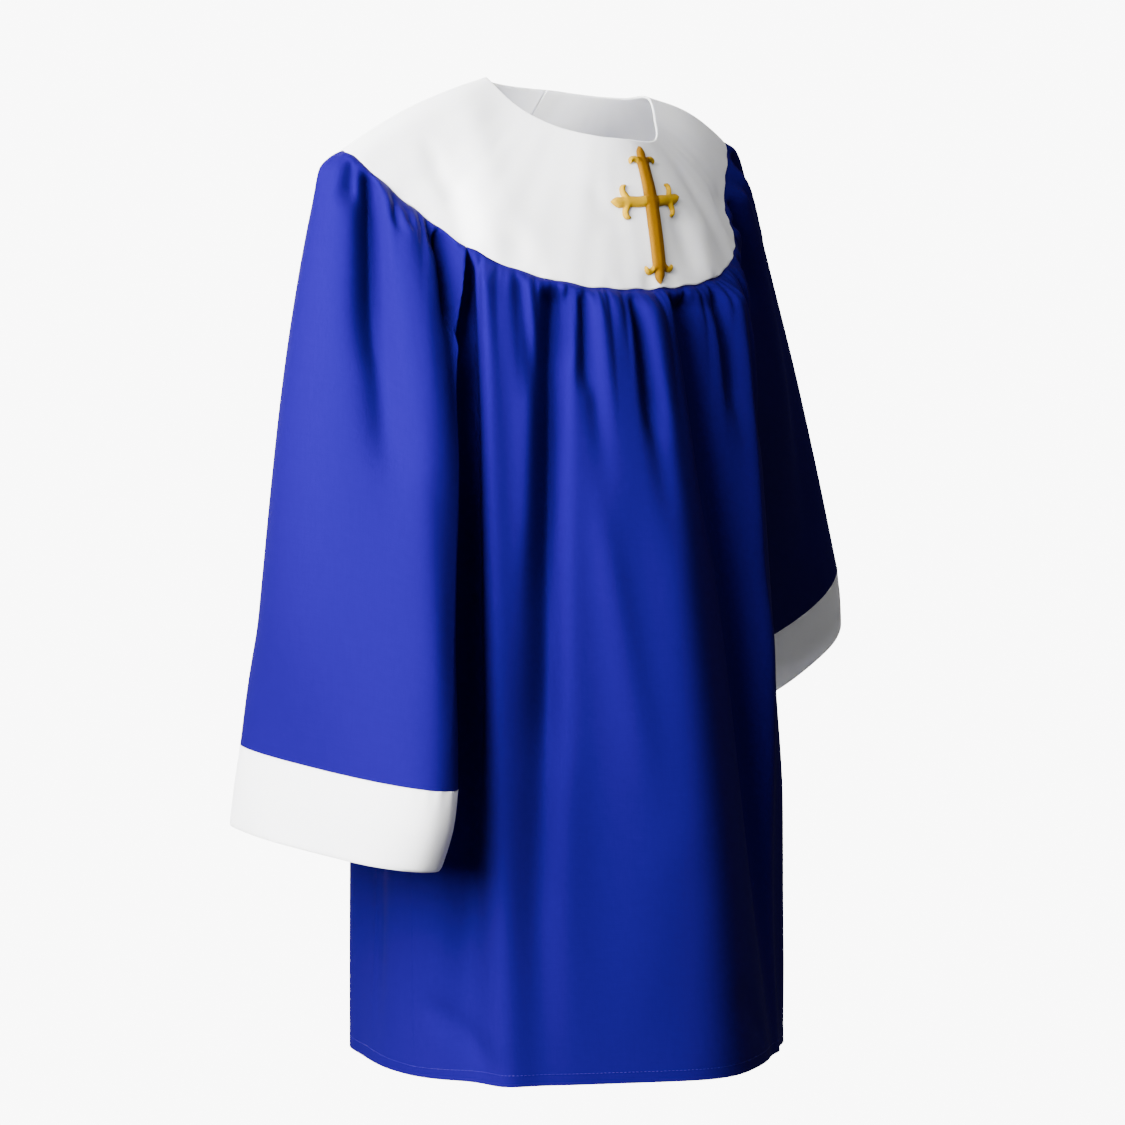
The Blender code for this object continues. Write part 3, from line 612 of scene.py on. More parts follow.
# Gathers: their widths against each other, their heights, how fast they rise below the seam, how far
# they run as a share of the way down, and how far they sway to the side.
GATHER_WIDTHS = (0.75, 1.3)
GATHER_HEIGHTS = (0.0032, 0.0052)
GATHER_RISE = 0.012
GATHER_RUNS = (0.06, 0.09, 0.14)
GATHER_SWAY = 0.035

# How the main and the fine gathers of a cloth are drawn: their height, how much shorter they run,
# and how round their tops are.
Gathering = namedtuple("Gathering", "height shorter round")
PANEL_MAIN, PANEL_FINE = Gathering(0.85, 1.2, 1.1), Gathering(0.3, 4.0, 0.8)
SLEEVE_MAIN, SLEEVE_FINE = Gathering(1.15, 1.0, 1.1), Gathering(0.5, 2.6, 0.8)

# Large folds. A fold starts at the gathered seam and fades out where it ends, as a share of the way
# down. Across is 0 at a panel's middle line and 1 at its left side seam. A trough is negative.
Fold = namedtuple("Fold", "across_top across_low wide_top wide_low depth_top depth_low ends")
FRONT_FOLDS = table(
    Fold,
    (-0.74, -0.81, 0.06, 0.08, -0.015, -0.023, 0.9),
    (-0.625, -0.67, 0.045, 0.07, 0.012, 0.01, 1.0),
    (-0.405, -0.56, 0.038, 0.06, -0.02, -0.015, 0.8),
    (-0.36, -0.4, 0.08, 0.17, -0.004, -0.014, 0.98),
    (-0.31, -0.28, 0.025, 0.04, -0.007, -0.004, 0.22),
    (-0.09, -0.04, 0.07, 0.16, 0.006, 0.014, 1.0),
    (-0.13, -0.09, 0.025, 0.04, -0.008, -0.004, 0.3),
    (0.1, 0.4, 0.06, 0.15, -0.018, -0.028, 0.98),
    (0.22, 0.3, 0.025, 0.04, -0.007, -0.004, 0.2),
    (0.33, 0.4, 0.04, 0.06, 0.008, 0.014, 0.98),
    (0.58, 0.74, 0.04, 0.07, -0.011, -0.01, 0.8),
)
BACK_FOLDS = table(
    Fold,
    (-0.64, -0.7, 0.045, 0.08, -0.012, -0.011, 0.8),
    (-0.5, -0.48, 0.05, 0.12, 0.007, 0.011, 1.0),
    (-0.34, -0.27, 0.035, 0.1, -0.011, -0.013, 1.0),
    (-0.18, -0.17, 0.03, 0.04, -0.007, -0.004, 0.25),
    (-0.02, -0.06, 0.06, 0.13, 0.006, 0.011, 1.0),
    (0.15, 0.21, 0.035, 0.11, -0.011, -0.014, 1.0),
    (0.33, 0.34, 0.03, 0.05, -0.007, -0.004, 0.22),
    (0.45, 0.52, 0.05, 0.11, 0.007, 0.01, 1.0),
    (0.62, 0.72, 0.045, 0.08, -0.012, -0.011, 0.75),
)
FRONT_CREASES = table(
    Crease,
    (-0.93, 0.9, -0.7, 0.985, 0.01, 0.012, -0.004),
    (-0.43, 0.02, -0.49, 0.36, 0.006, 0.01, -0.011),
    (-0.5, 0.34, -0.52, 0.58, 0.012, 0.02, -0.008),
    (-0.75, 0.1, -0.78, 0.6, 0.012, 0.016, -0.008),
    (-0.52, 0.0, -0.49, 0.14, 0.004, 0.01, -0.006),
    (-0.36, 0.0, -0.38, 0.1, 0.003, 0.007, -0.0045),
    (-0.13, 0.02, -0.1, 0.17, 0.004, 0.009, -0.01),
    (-0.31, 0.02, -0.32, 0.12, 0.004, 0.007, -0.008),
    (0.06, 0.02, 0.12, 0.3, 0.005, 0.01, -0.011),
    (0.25, 0.0, 0.31, 0.16, 0.004, 0.01, -0.0065),
    (0.36, 0.01, 0.43, 0.18, 0.004, 0.008, 0.006),
    (0.46, 0.0, 0.5, 0.2, 0.004, 0.01, -0.007),
    (0.54, 0.01, 0.6, 0.16, 0.004, 0.008, 0.005),
    (0.4, 0.14, 0.38, 0.42, 0.01, 0.016, -0.005),
    (-0.06, 0.25, -0.04, 0.8, 0.022, 0.034, 0.004),
    (0.62, 0.35, 0.66, 0.92, 0.014, 0.022, -0.006),
    (-0.1, 0.72, -0.16, 0.97, 0.02, 0.032, -0.0022),
    (-0.3, 0.3, -0.22, 0.62, 0.012, 0.018, 0.0035),
    (0.2, 0.97, 0.05, 0.9, 0.01, 0.014, -0.002),
    (0.52, 0.6, 0.58, 0.97, 0.012, 0.018, 0.004),
)
BACK_CREASES = table(
    Crease,
    (-0.55, 0.0, -0.56, 0.16, 0.004, 0.01, -0.006),
    (-0.42, 0.0, -0.41, 0.12, 0.003, 0.008, -0.0045),
    (-0.26, 0.0, -0.23, 0.18, 0.004, 0.011, -0.006),
    (-0.08, 0.0, -0.09, 0.12, 0.003, 0.007, -0.0048),
    (0.07, 0.0, 0.09, 0.2, 0.004, 0.011, -0.006),
    (0.25, 0.0, 0.26, 0.11, 0.003, 0.007, -0.0045),
    (0.41, 0.0, 0.44, 0.15, 0.004, 0.009, -0.006),
    (0.54, 0.0, 0.56, 0.13, 0.004, 0.008, -0.005),
    (-0.15, 0.4, -0.18, 0.92, 0.018, 0.026, -0.005),
    (0.34, 0.36, 0.38, 0.9, 0.016, 0.024, 0.005),
    (0.62, 0.5, 0.59, 0.96, 0.014, 0.02, -0.005),
    (-0.8, 0.55, -0.77, 0.94, 0.014, 0.02, -0.0045),
    (-0.44, 0.3, -0.38, 0.7, 0.012, 0.018, -0.0035),
)


def seam_frame(place):
    """At the yoke's lower edge: the way out of the seam, and the way down into the gathers."""
    along = unit(lower_edge(place + PROBE) - lower_edge(place - PROBE))
    level = unit(np.cross(along, np.array([0.0, 0.0, 1.0])))
    fall = smooth_yoke(place, np.ones_like(place)) - smooth_yoke(place, np.full_like(place, 0.95))
    out = unit(unit(np.cross(fall, along)) + level)
    return out, np.cross(along, out)


def gathered_edge(place):
    """Where gathered cloth starts, just below the yoke's edge."""
    return lower_edge(place) + seam_frame(place)[1] * SEAM_GAP


def armhole(side, armhole_place, along):
    """The armhole seam, from the yoke's edge (0) to the underarm (1)."""
    start = gathered_edge(np.array([side * armhole_place]))[0]
    end = UNDERARM * (side, 1, 1)
    middle = (start + end) / 2 + (-side * 0.004, 0, -0.012)
    along = np.asarray(along)[..., None]
    return start * (1 - along) ** 2 + middle * 2 * along * (1 - along) + end * along**2


def hem_edge(face, across):
    """The hem, a round that is a little deeper in front and hangs lower at the wearer's right."""
    turn = across * math.pi / 2
    depth = -HEM_FRONT_DEPTH if face == "front" else HEM_BACK_DEPTH
    x, y = HEM_HALF_WIDTH * np.sin(turn), depth * np.cos(turn)
    rise = HEM_RISE * np.maximum(-y / HEM_FRONT_DEPTH, 0)
    return np.stack([x, y, HEM_HEIGHT + rise + HEM_TILT * x], -1)


def level_out(face, across):
    """The level way out of a panel at its hem."""
    out = np.cross(hem_edge(face, across + PROBE) - hem_edge(face, across - PROBE), np.array([0.0, 0.0, 1.0]))
    out[..., 2] = 0
    return unit(-out if face == "back" else out)


def gathered_place(face, across):
    """The place along the yoke's edge where a panel is gathered in."""
    share = np.minimum(np.abs(across) / GATHERED_SHARE, 1)
    place = FRONT_ARMHOLE * share if face == "front" else 2 - (2 - BACK_ARMHOLE) * share
    return np.where(across >= 0, place, -place)


def panel_top(face, across):
    """The panel's upper boundary: the yoke's edge in the middle and an armhole at each side."""
    top = gathered_edge(gathered_place(face, across))
    along = (np.abs(across) - GATHERED_SHARE) / (1 - GATHERED_SHARE)
    for side in (-1, 1):
        beside = (along > 0) & (np.sign(across) == side)
        top[beside] = armhole(side, FRONT_ARMHOLE if face == "front" else BACK_ARMHOLE, along[beside])
    return top


def hang(top, end, out, stand_off, fall, crown, down):
    """Lines of cloth that leave their seam outwards and then hang to their ends."""
    down = np.asarray(down)[..., None]
    start = top + out * stand_off
    straight = start + (end - start) * down
    return straight - out * stand_off * np.exp(-down / fall) + out * crown * np.sin(math.pi * down)


def gathers_of(count, seed):
    """Gathers with uneven spacing: where each one starts, how high it stands and how far it runs."""
    draw = random.Random(seed)
    widths = [draw.uniform(*GATHER_WIDTHS) for _ in range(count)]
    edges = np.array([sum(widths[:i]) / sum(widths) for i in range(count + 1)])
    heights = np.array([draw.uniform(*GATHER_HEIGHTS) for _ in range(count)])
    runs = np.array([draw.choice(GATHER_RUNS) for _ in range(count)])
    return edges, heights, runs


def gathers_height(gathers, way, share, down):
    """How far the gathers lift the cloth, at shares of the way along the gathered edge."""
    edges, heights, runs = gathers
    down = down * way.shorter
    i = np.clip(np.searchsorted(edges, share, side="right") - 1, 0, len(heights) - 1)
    inside = (share - edges[i]) / (edges[i + 1] - edges[i])
    rise = 1 - np.exp(-down / GATHER_RISE)
    top = np.abs(np.sin(math.pi * inside)) ** way.round
    lift = heights[i] * top * rise * np.exp(-((down / runs[i]) ** 2))
    return way.height * np.where((share >= 0) & (share < 1), lift, 0)


def sway(share, down, waves):
    """Shares of the way along the gathered edge, where the gathers lean to and fro further down."""
    middle = np.maximum(1 - np.abs(share * 2 - 1), 0)
    return share + GATHER_SWAY * np.sin(share * waves) * np.sqrt(down) * middle


def folds_height(folds, across, down):
    """How far the large folds lift the cloth."""
    height = np.zeros(np.broadcast(across, down).shape)
    for fold in folds:
        low = np.minimum(down / fold.ends, 1.0)
        middle = fold.across_top + (fold.across_low - fold.across_top) * low
        wide = fold.wide_top + (fold.wide_low - fold.wide_top) * low
        depth = fold.depth_top + (fold.depth_low - fold.depth_top) * low
        if fold.ends < 1:
            depth = depth * (1 - ease((down / fold.ends - 0.6) / 0.7))
        height = height + depth * np.exp(-(((across - middle) / wide) ** 2)) * ease(down / FOLDS_START)
    return height


PANELS = {
    "front": (gathers_of(22, 3), gathers_of(47, 21), FRONT_FOLDS, FRONT_CREASES),
    "back": (gathers_of(18, 5), gathers_of(41, 22), BACK_FOLDS, BACK_CREASES),
}


def panel_face(face, across, down):
    """A panel's outer face: across from the right side seam (-1) to the left (1), down to 1."""
    gathers, fine_gathers, folds, creases = PANELS[face]
    out = level_out(face, across)
    free = (1 - ease((np.abs(across) - HELD_FROM) / (GATHERED_SHARE - HELD_FROM)))[..., None]
    point = hang(panel_top(face, across), hem_edge(face, across), out, STAND_OFF * free, STAND_OFF_FALL,
                 PANEL_CROWN * free, down)
    share = sway((across / GATHERED_SHARE + 1) / 2, down, 37)
    lift = gathers_height(gathers, PANEL_MAIN, share, down) + folds_height(folds, across, down)
    lift = lift + gathers_height(fine_gathers, PANEL_FINE, share, down)
    creased = creases_height(creases, across, down, PANEL_HALF_ROUND, PANEL_HANGS)
    lift = lift + creased * ease(down / CREASES_START)
    lift = lift - SEAM_SINK * free[..., 0] * np.exp(-down / SEAM_SINK_REACH)
    return point + out * lift[..., None]


def make_panel(face, columns, rows):
    """The front or the back panel."""
    share = np.linspace(-1, 1, columns)
    across, down = np.meshgrid(share * (1 + SIDE_OVERLAP), np.linspace(0, 1, rows) ** 1.5)
    points = panel_face(face, across, down)
    out = way_out(points, face == "back")
    seam = np.abs(across[0]) <= GATHERED_SHARE
    out[0, seam] = seam_frame(gathered_place(face, across[0, seam]))[0]
    fall = unit(np.gradient(points, axis=0))
    for j in (0, -1):
        level = np.array([math.copysign(1.0, across[0, j]), 0, 0])
        out[:, j] = unit(level - fall[:, j] * (fall[:, j] @ level)[:, None])
    grain = np.stack([across * PANEL_HALF_WIDTH, -down * PANEL_LENGTH], -1)
    piece = cloth_piece(face + "_cloth", points, out, PANEL_CLOTH, grain, flip=face == "back")
    piece.data.materials.append(BLUE_CLOTH)
    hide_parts("body_" + face)
    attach(piece, "root")
    return piece


BLUE_CLOTH = cloth_material("blue_cloth", colour=(0.0056, 0.0003, 0.070, 1),
                            slub_colour=(0.0082, 0.0008, 0.103, 1), shine=(0.03, 0.02, 0.8, 1),
                            roughness=0.72, sheen=0.03)
front = make_panel("front", 320, 120)
back = make_panel("back", 280, 110)

# The sleeves
# Each bell sleeve is one piece of the same blue cloth, gathered over the shoulder tip into the yoke
# and closed by an underarm seam. The right one hangs down, and the left one is held out.
SleeveRow = namedtuple("SleeveRow", "name side x y z front outside lean_out lean_back tuck crown")
SLEEVES = (
    SleeveRow("right", -1, 0.221, 0.026, -0.541, 0.124, 0.040, 5.0, 3.3, 0.014, 0.017),
    SleeveRow("left", 1, 0.369, 0.207, -0.474, 0.055, 0.120, 29.0, 26.0, 0.0, 0.003),
)
SLEEVE_FOLDS = {
    "right": table(
        Fold,
        (0.21, 0.2, 0.06, 0.1, -0.004, -0.011, 0.75),
        (0.31, 0.22, 0.028, 0.05, -0.01, -0.008, 0.4),
        (0.39, 0.32, 0.028, 0.05, 0.007, 0.004, 0.48),
        (0.438, 0.4, 0.016, 0.03, -0.011, -0.006, 0.52),
        (0.462, 0.466, 0.01, 0.012, -0.003, -0.002, 0.09),
        (0.5, 0.54, 0.04, 0.08, 0.005, 0.005, 1.0),
        (0.57, 0.64, 0.018, 0.04, -0.01, -0.006, 0.48),
        (0.64, 0.74, 0.022, 0.05, 0.007, 0.005, 0.6),
        (0.69, 0.8, 0.02, 0.04, -0.009, -0.005, 0.38),
    ),
    "left": table(
        Fold,
        (0.33, 0.25, 0.025, 0.05, -0.01, -0.006, 0.38),
        (0.39, 0.33, 0.022, 0.05, 0.007, 0.005, 0.6),
        (0.45, 0.42, 0.018, 0.04, -0.01, -0.006, 0.42),
        (0.54, 0.56, 0.03, 0.07, 0.006, 0.006, 1.0),
        (0.6, 0.67, 0.018, 0.04, -0.01, -0.006, 0.55),
        (0.68, 0.78, 0.022, 0.04, -0.008, -0.005, 0.38),
    ),
}
SLEEVE_CREASES = {
    "right": table(
        Crease,
        (0.475, 0.0, 0.472, 0.07, 0.005, 0.007, -0.01),
        (0.438, 0.01, 0.428, 0.28, 0.006, 0.013, -0.016),
        (0.424, 0.27, 0.395, 0.46, 0.012, 0.018, -0.007),
        (0.385, 0.0, 0.375, 0.04, 0.004, 0.005, -0.006),
        (0.335, 0.0, 0.325, 0.05, 0.004, 0.006, -0.005),
        (0.302, 0.01, 0.262, 0.16, 0.008, 0.016, -0.019),
        (0.4, 0.0, 0.395, 0.06, 0.003, 0.005, -0.005),
        (0.56, 0.0, 0.58, 0.16, 0.004, 0.01, -0.007),
        (0.66, 0.0, 0.69, 0.14, 0.004, 0.009, -0.007),
        (0.37, 0.4, 0.3, 0.94, 0.02, 0.026, 0.004),
        (0.6, 0.4, 0.66, 0.86, 0.018, 0.026, -0.0045),
        (0.1, 0.3, 0.14, 0.8, 0.016, 0.024, -0.005),
        (0.9, 0.35, 0.86, 0.8, 0.016, 0.024, -0.005),
    ),
    "left": table(
        Crease,
        (0.47, 0.01, 0.47, 0.11, 0.005, 0.008, -0.0065),
        (0.42, 0.0, 0.4, 0.16, 0.004, 0.008, 0.0045),
        (0.36, 0.0, 0.32, 0.2, 0.005, 0.012, -0.008),
        (0.3, 0.0, 0.275, 0.1, 0.003, 0.007, -0.005),
        (0.54, 0.0, 0.555, 0.14, 0.004, 0.009, -0.0065),
        (0.64, 0.0, 0.665, 0.13, 0.004, 0.009, -0.0065),
        (0.4, 0.45, 0.35, 0.92, 0.016, 0.024, -0.005),
        (0.62, 0.45, 0.67, 0.88, 0.016, 0.024, 0.005),
        (0.12, 0.35, 0.15, 0.82, 0.016, 0.024, -0.005),
        (0.9, 0.3, 0.86, 0.78, 0.016, 0.024, -0.005),
    ),
}
SLEEVE_GATHERS = {
    "right": (gathers_of(10, 8), gathers_of(23, 31)),
    "left": (gathers_of(10, 11), gathers_of(23, 32)),
}
SLEEVE_WIDTH = 0.50
SLEEVE_LENGTH = 0.50
SLEEVE_STAND_OFF = 0.013
SLEEVE_STAND_OFF_FALL = 0.04
SLEEVE_SQUARENESS = 0.85
SHOULDER_INSET = 0.004
UNDER_STEPS = 44
OVER_STEPS = 132
CUFF_HOLDS_FROM = 0.75
CUFF_HEIGHT = 0.067


def sleeve_axes(row):
    """The way that a sleeve's end faces, and the ways to its outside and its front."""
    lean_out, lean_back = math.tan(math.radians(row.lean_out)), math.tan(math.radians(row.lean_back))
    axis = unit(np.array([row.side * lean_out, lean_back, -1.0]))
    outside = np.array([row.side, 0.0, 0.0])
    outside = unit(outside - axis * (outside @ axis))
    return axis, outside, np.cross(axis, outside) * row.side


def cuff_ring(row, share, below):
    """The oval of a sleeve's end: share 0 next to the body, then front, outside and back."""
    axis, outside, front_way = sleeve_axes(row)
    turn = 2 * math.pi * np.asarray(share)
    across = -np.sign(np.cos(turn)) * np.abs(np.cos(turn)) ** SLEEVE_SQUARENESS
    forward = np.sign(np.sin(turn)) * np.abs(np.sin(turn)) ** SLEEVE_SQUARENESS
    tuck = row.tuck * np.maximum(forward, 0) ** 2 * np.maximum(below / CUFF_HEIGHT, 0) ** 2
    middle = np.array([row.side * row.x, row.y, row.z])
    below = np.broadcast_to(below, turn.shape)[..., None]
    reach = (row.front * forward - tuck)[..., None]
    return middle + axis * below + outside * (row.outside * across)[..., None] + front_way * reach


def over_shoulder(share):
    """The place on the yoke's edge where a sleeve is gathered in."""
    return FRONT_ARMHOLE + (BACK_ARMHOLE - FRONT_ARMHOLE) * (share - 0.25) * 2


def sleeve_top(row, share):
    """The sleeve's upper edge: front armhole, yoke edge over the shoulder tip, and back armhole."""
    place = np.clip(over_shoulder(share), FRONT_ARMHOLE + SHOULDER_INSET, BACK_ARMHOLE - SHOULDER_INSET)
    top = gathered_edge(row.side * place)
    for face, start, low, high in (("front", FRONT_ARMHOLE, -1.0, 0.25), ("back", BACK_ARMHOLE, 0.75, 2.0)):
        beside = (share > low) & (share < high)
        along = 1 - 4 * share[beside] if face == "front" else 4 * share[beside] - 3
        across = row.side * (GATHERED_SHARE + along * (1 - GATHERED_SHARE))
        out = level_out(face, across)
        before, after = np.maximum(along - PROBE, 0), np.minimum(along + PROBE, 1)
        away = unit(np.cross(armhole(row.side, start, after) - armhole(row.side, start, before), out))
        away = np.where(away[..., 2:] < 0, -away, away)
        top[beside] = armhole(row.side, start, along) + (out + away) * SEAM_GAP * 1.3
    return top


def sleeve_face(row, share, down):
    """A sleeve's outer face, from its upper edge (down 0) to the cuff seam (1)."""
    top, end = sleeve_top(row, share), cuff_ring(row, share, 0.0)
    over = ease((0.5 - np.abs(share - 0.5)) * 4 - 0.6)[..., None]
    out = end - np.array([row.side * row.x, row.y, row.z])
    out[..., 2] = 0
    out = unit(out)
    point = hang(top, end, out, SLEEVE_STAND_OFF * over, SLEEVE_STAND_OFF_FALL, row.crown * over, down)
    gathers, fine_gathers = SLEEVE_GATHERS[row.name]
    place = sway((share - 0.25) * 2, down, 23)
    lift = gathers_height(gathers, SLEEVE_MAIN, place, down)
    lift = lift + gathers_height(fine_gathers, SLEEVE_FINE, place, down)
    lift = lift - SEAM_SINK * over[..., 0] * np.exp(-down / SEAM_SINK_REACH)
    lift = lift + folds_height(SLEEVE_FOLDS[row.name], share, down)
    creased = creases_height(SLEEVE_CREASES[row.name], share, down, SLEEVE_WIDTH, SLEEVE_LENGTH)
    lift = lift + creased * ease(down / CREASES_START)
    lift = lift * (1 - ease((down - CUFF_HOLDS_FROM) / (1 - CUFF_HOLDS_FROM)))
    return point + out * lift[..., None]


def cuff_out(row, share, below):
    """The way out of the oval."""
    along = cuff_ring(row, share + PROBE, below) - cuff_ring(row, share - PROBE, below)
    return unit(np.cross(along, sleeve_axes(row)[0])) * -row.side


def make_sleeve(row):
    """One sleeve, as a tube of cloth."""
    under, over = np.arange(0, 0.25, 0.25 / UNDER_STEPS), np.arange(0.25, 0.75, 0.5 / OVER_STEPS)
    shares = np.concatenate([under, over, np.arange(0.75, 1, 0.25 / UNDER_STEPS)])
    share, down = np.meshgrid(shares, np.linspace(0, 1, 100) ** 1.35)
    points = sleeve_face(row, share, down)
    flip = row.side < 0
    out = way_out(points, flip, closed=True)
    seam = (shares > 0.26) & (shares < 0.74)
    out[0, seam] = seam_frame(row.side * over_shoulder(shares[seam]))[0]
    out[-1] = cuff_out(row, shares, 0.0)
    piece = cloth_piece("sleeve_cloth_" + row.name, points, out, PANEL_CLOTH,
                        np.stack([share * 0.56, -down * 0.50], -1), flip=flip, closed=True)
    piece.data.materials.append(BLUE_CLOTH)
    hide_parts("sleeve_" + row.name)
    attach(piece, "root")


# The cuffs
# Deep straight bands of doubled white cloth, folded at the bottom and sewn to the sleeves' ends.
CUFF_CLOTH = 0.0020
CUFF_EASE = 0.0015
CUFF_TURN_IN = 0.0007
CUFF_TURNS_FROM = 0.97
CUFF_WAVE = 0.0007
CUFF_PUCKER = 0.0005
CUFF_PUCKER_REACH = 0.006


def make_cuff(row):
    """One cuff, whose lower edge is a soft fold."""
    shares = np.arange(0, 1, 1 / 220)
    belows = SEAM_GAP + (CUFF_HEIGHT - SEAM_GAP) * np.linspace(0, 1, 30)
    rings, outs = [], []
    for below in belows:
        out = cuff_out(row, shares, below)
        level = below / CUFF_HEIGHT
        swell = CUFF_EASE * min(level * 2, 1)
        turn_in = CUFF_TURN_IN * max(0.0, (level - CUFF_TURNS_FROM) / (1 - CUFF_TURNS_FROM)) ** 2
        wave = CUFF_WAVE * np.sin(shares * 44 + 3 * level) * level**2
        wave = wave + CUFF_PUCKER * np.sin(shares * 190) * math.exp(-(below / CUFF_PUCKER_REACH))
        rings.append(cuff_ring(row, shares, below) + out * (swell - turn_in + wave)[:, None])
        outs.append(out)
    share, below = np.meshgrid(shares, belows)
    piece = cloth_piece("cuff_cloth_" + row.name, np.array(rings), np.array(outs), CUFF_CLOTH,
                        np.stack([share * 0.57, -below], -1), flip=row.side < 0, closed=True)
    piece.data.materials.append(WHITE_CLOTH)
    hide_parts("cuff_" + row.name)
    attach(piece, "root")


for sleeve_row in SLEEVES:
    make_sleeve(sleeve_row)
    make_cuff(sleeve_row)

# The hem's stitches
# One row of lockstitch in blue thread holds the turned hem, just under 1 cm above its edge.
HEM_STITCH_HEIGHT = 0.009
HEM_STITCH_END = 0.995
STITCH_STANDS_OUT = 0.00005
STITCH_SPACING = 0.0032
STITCH_LENGTH = 0.0023
STITCH_THREAD = 0.00028


def make_stitcher():
    """Stitches along a path: short rounded threads with a small space between them."""
    tree = bpy.data.node_groups.new("stitches", "GeometryNodeTree")
    add_sockets(tree, "INPUT", {"Geometry": "Geometry", "Spacing": "Float", "Length": "Float",
                                "Thread": "Float", "Material": "Material"})
    add_sockets(tree, "OUTPUT", {"Geometry": "Geometry"})
    entry, leave = tree.nodes.new("NodeGroupInput"), tree.nodes.new("NodeGroupOutput")
    path = tree.nodes.new("GeometryNodeResampleCurve")
    path.mode = "LENGTH"
    thread = tree.nodes.new("GeometryNodeMeshUVSphere")
    set_inputs(thread, {"Segments": 6, "Rings": 5, "Radius": 0.5})
    size = tree.nodes.new("ShaderNodeCombineXYZ")
    tangent = tree.nodes.new("GeometryNodeInputTangent")
    turn = tree.nodes.new("FunctionNodeAlignRotationToVector")
    turn.axis = "Z"
    place = tree.nodes.new("GeometryNodeInstanceOnPoints")
    real = tree.nodes.new("GeometryNodeRealizeInstances")
    smooth = tree.nodes.new("GeometryNodeSetShadeSmooth")
    paint = tree.nodes.new("GeometryNodeSetMaterial")
    for joint in (
        (entry, "Geometry", path, "Curve"),
        (entry, "Spacing", path, "Length"),
        (entry, "Thread", size, "X"),
        (entry, "Thread", size, "Y"),
        (entry, "Length", size, "Z"),
        (tangent, "Tangent", turn, "Vector"),
        (path, "Curve", place, "Points"),
        (thread, "Mesh", place, "Instance"),
        (turn, "Rotation", place, "Rotation"),
        (size, "Vector", place, "Scale"),
        (place, "Instances", real, "Geometry"),
        (real, "Geometry", smooth, "Geometry"),
        (smooth, "Geometry", paint, "Geometry"),
        (entry, "Material", paint, "Material"),
        (paint, "Geometry", leave, "Geometry"),
    ):
        link(tree, *joint)
    return tree


STITCHES = make_stitcher()


def thread_of(name, colour):
    """Sewing thread in one colour, a little darker and lighter along its way."""
    material, tree, shader = principled(name)
    shader.inputs["Roughness"].default_value = 0.5
    noise = tree.nodes.new("ShaderNodeTexNoise")
    noise.inputs["Scale"].default_value = 900.0
    link(tree, tree.nodes.new("ShaderNodeTexCoord"), "Object", noise, "Vector")
    dark, light = ([v * strength for v in colour] + [1.0] for strength in (0.85, 1.15))
    link(tree, colour_ramp(tree, noise, dark, light), "Color", shader, "Base Color")
    return material


def stitch_along(name, points, material):
    """A row of stitches along the points."""
    curve = bpy.data.curves.new(name, "CURVE")
    curve.dimensions = "3D"
    spline = curve.splines.new("POLY")
    spline.points.add(len(points) - 1)
    spline.points.foreach_set("co", np.concatenate([points, np.ones((len(points), 1))], axis=1).ravel())
    guide = put_in_scene(name + "_path", curve)
    sewing = guide.modifiers.new("stitches", "NODES")
    sewing.node_group = STITCHES
    values = {"Spacing": STITCH_SPACING, "Length": STITCH_LENGTH, "Thread": STITCH_THREAD,
              "Material": material}
    for item in STITCHES.interface.items_tree:
        if item.in_out == "INPUT" and item.name in values:
            sewing[item.identifier] = values[item.name]
    bpy.context.view_layer.update()
    evaluated = guide.evaluated_get(bpy.context.evaluated_depsgraph_get())
    mesh = bpy.data.meshes.new_from_object(evaluated)
    bpy.data.objects.remove(guide)
    piece = put_in_scene(name, mesh)
    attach(piece, "root")


BLUE_THREAD = thread_of("blue_thread", (0.014, 0.005, 0.20))
for face in ("front", "back"):
    across = np.linspace(-HEM_STITCH_END, HEM_STITCH_END, 500)
    line = panel_face(face, across, np.full_like(across, 1 - HEM_STITCH_HEIGHT / PANEL_HANGS))
    line = line + level_out(face, across) * STITCH_STANDS_OUT
    stitch_along("hem_stitches_" + face, line, BLUE_THREAD)

# The floor, the light and the camera
# A pale studio. The largest light stands close by at the wearer's right, with weaker ones above the
# front and behind, and a small one inside the neck. The floor lies far below and shows as backdrop.
FLOOR_HEIGHT = -1.6
FLOOR_REACH = 3000.0
BACKDROP_STRENGTH = 9.1
SKY_STRENGTH = 0.12

corners = [(x * FLOOR_REACH, y * FLOOR_REACH, FLOOR_HEIGHT) for x, y in ((-1, -1), (1, -1), (1, 1), (-1, 1))]
floor_mesh = bpy.data.meshes.new("floor")
floor_mesh.from_pydata(corners, [], [(0, 1, 2, 3)])
floor = put_in_scene("floor", floor_mesh)
floor_paint = bpy.data.materials.new("pale_floor")
floor_paint.use_nodes = True
floor_tree = floor_paint.node_tree
floor_tree.nodes.clear()
glow = floor_tree.nodes.new("ShaderNodeEmission")
glow.inputs["Strength"].default_value = BACKDROP_STRENGTH
matt = floor_tree.nodes.new("ShaderNodeBsdfDiffuse")
matt.inputs["Color"].default_value = (0.10, 0.10, 0.10, 1)


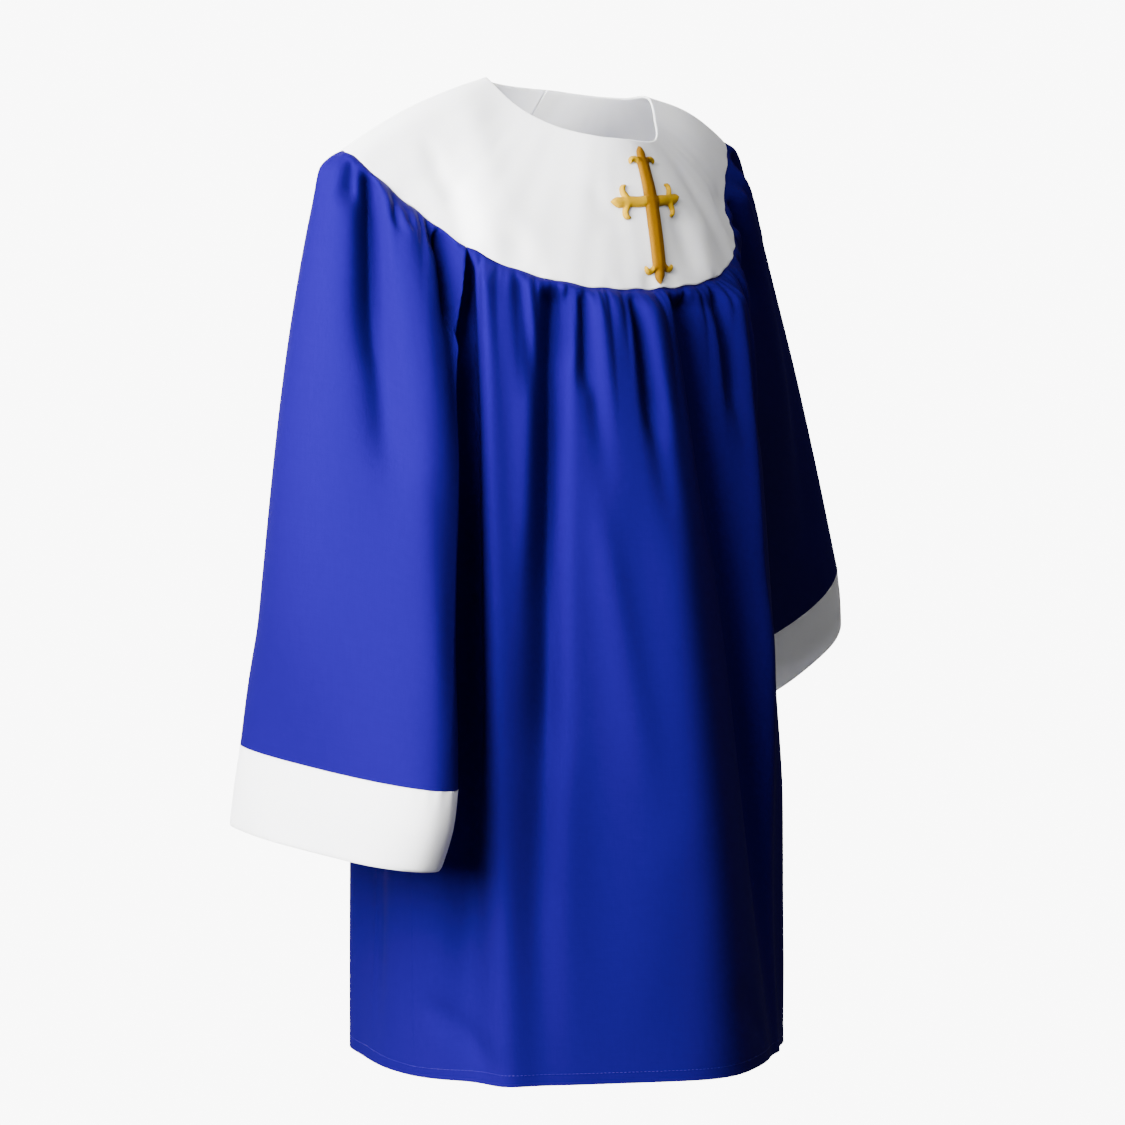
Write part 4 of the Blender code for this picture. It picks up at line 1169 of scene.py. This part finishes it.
def choose_for_camera(tree, lit, seen, surface):
    """Light the scene with one shader, and show the camera another."""
    choose = tree.nodes.new("ShaderNodeMixShader")
    link(tree, tree.nodes.new("ShaderNodeLightPath"), "Is Camera Ray", choose, "Fac")
    link(tree, lit, 0, choose, 1)
    link(tree, seen, 0, choose, 2)
    link(tree, choose, 0, surface, "Surface")


choose_for_camera(floor_tree, matt, glow, floor_tree.nodes.new("ShaderNodeOutputMaterial"))
floor_mesh.materials.append(floor_paint)

world = bpy.data.worlds.new("studio")
world.use_nodes = True
sky_tree = world.node_tree
sky = sky_tree.nodes["Background"]
set_inputs(sky, {"Color": (1, 1, 1, 1), "Strength": SKY_STRENGTH})
backdrop = sky_tree.nodes.new("ShaderNodeBackground")
set_inputs(backdrop, {"Color": (1, 1, 1, 1), "Strength": BACKDROP_STRENGTH})
choose_for_camera(sky_tree, sky, backdrop, sky_tree.nodes["World Output"])
bpy.context.scene.world = world

SoftLight = namedtuple("SoftLight", "name place aim size power")
LIGHTS = (
    SoftLight("key", (-1.32, -0.10, 0.20), (-0.18, 0.0, -0.35), 1.4, 205),
    SoftLight("top", (0.0, -1.6, 3.2), (0.0, 0.0, -0.30), 2.5, 75),
    SoftLight("back", (1.6, 3.2, 1.5), (0.0, 0.0, -0.30), 1.8, 300),
    SoftLight("neck", (0.01, -0.020, -0.055), (0.01, 0.060, -0.020), 0.06, 0.13),
)
for row in LIGHTS:
    lamp = bpy.data.lights.new(row.name, "AREA")
    lamp.size = row.size
    lamp.energy = row.power
    light = put_in_scene(row.name, lamp)
    light.location = row.place
    light.rotation_euler = (Vector(row.aim) - Vector(row.place)).to_track_quat("-Z", "Y").to_euler()
    light.visible_camera = False

CAMERA_PLACE = (-3.0175, -3.3383, 0.0717)
CAMERA_TURN = -42
CAMERA_LOOKS_DOWN = 5.852
camera = bpy.data.cameras.new("camera")
camera.sensor_width = 36.0
camera.lens = 175.6
camera.clip_end = 10000.0
eye = put_in_scene("camera", camera)
eye.location = CAMERA_PLACE
eye.rotation_euler = (math.radians(90 - CAMERA_LOOKS_DOWN), 0.0, math.radians(CAMERA_TURN))
bpy.context.scene.camera = eye
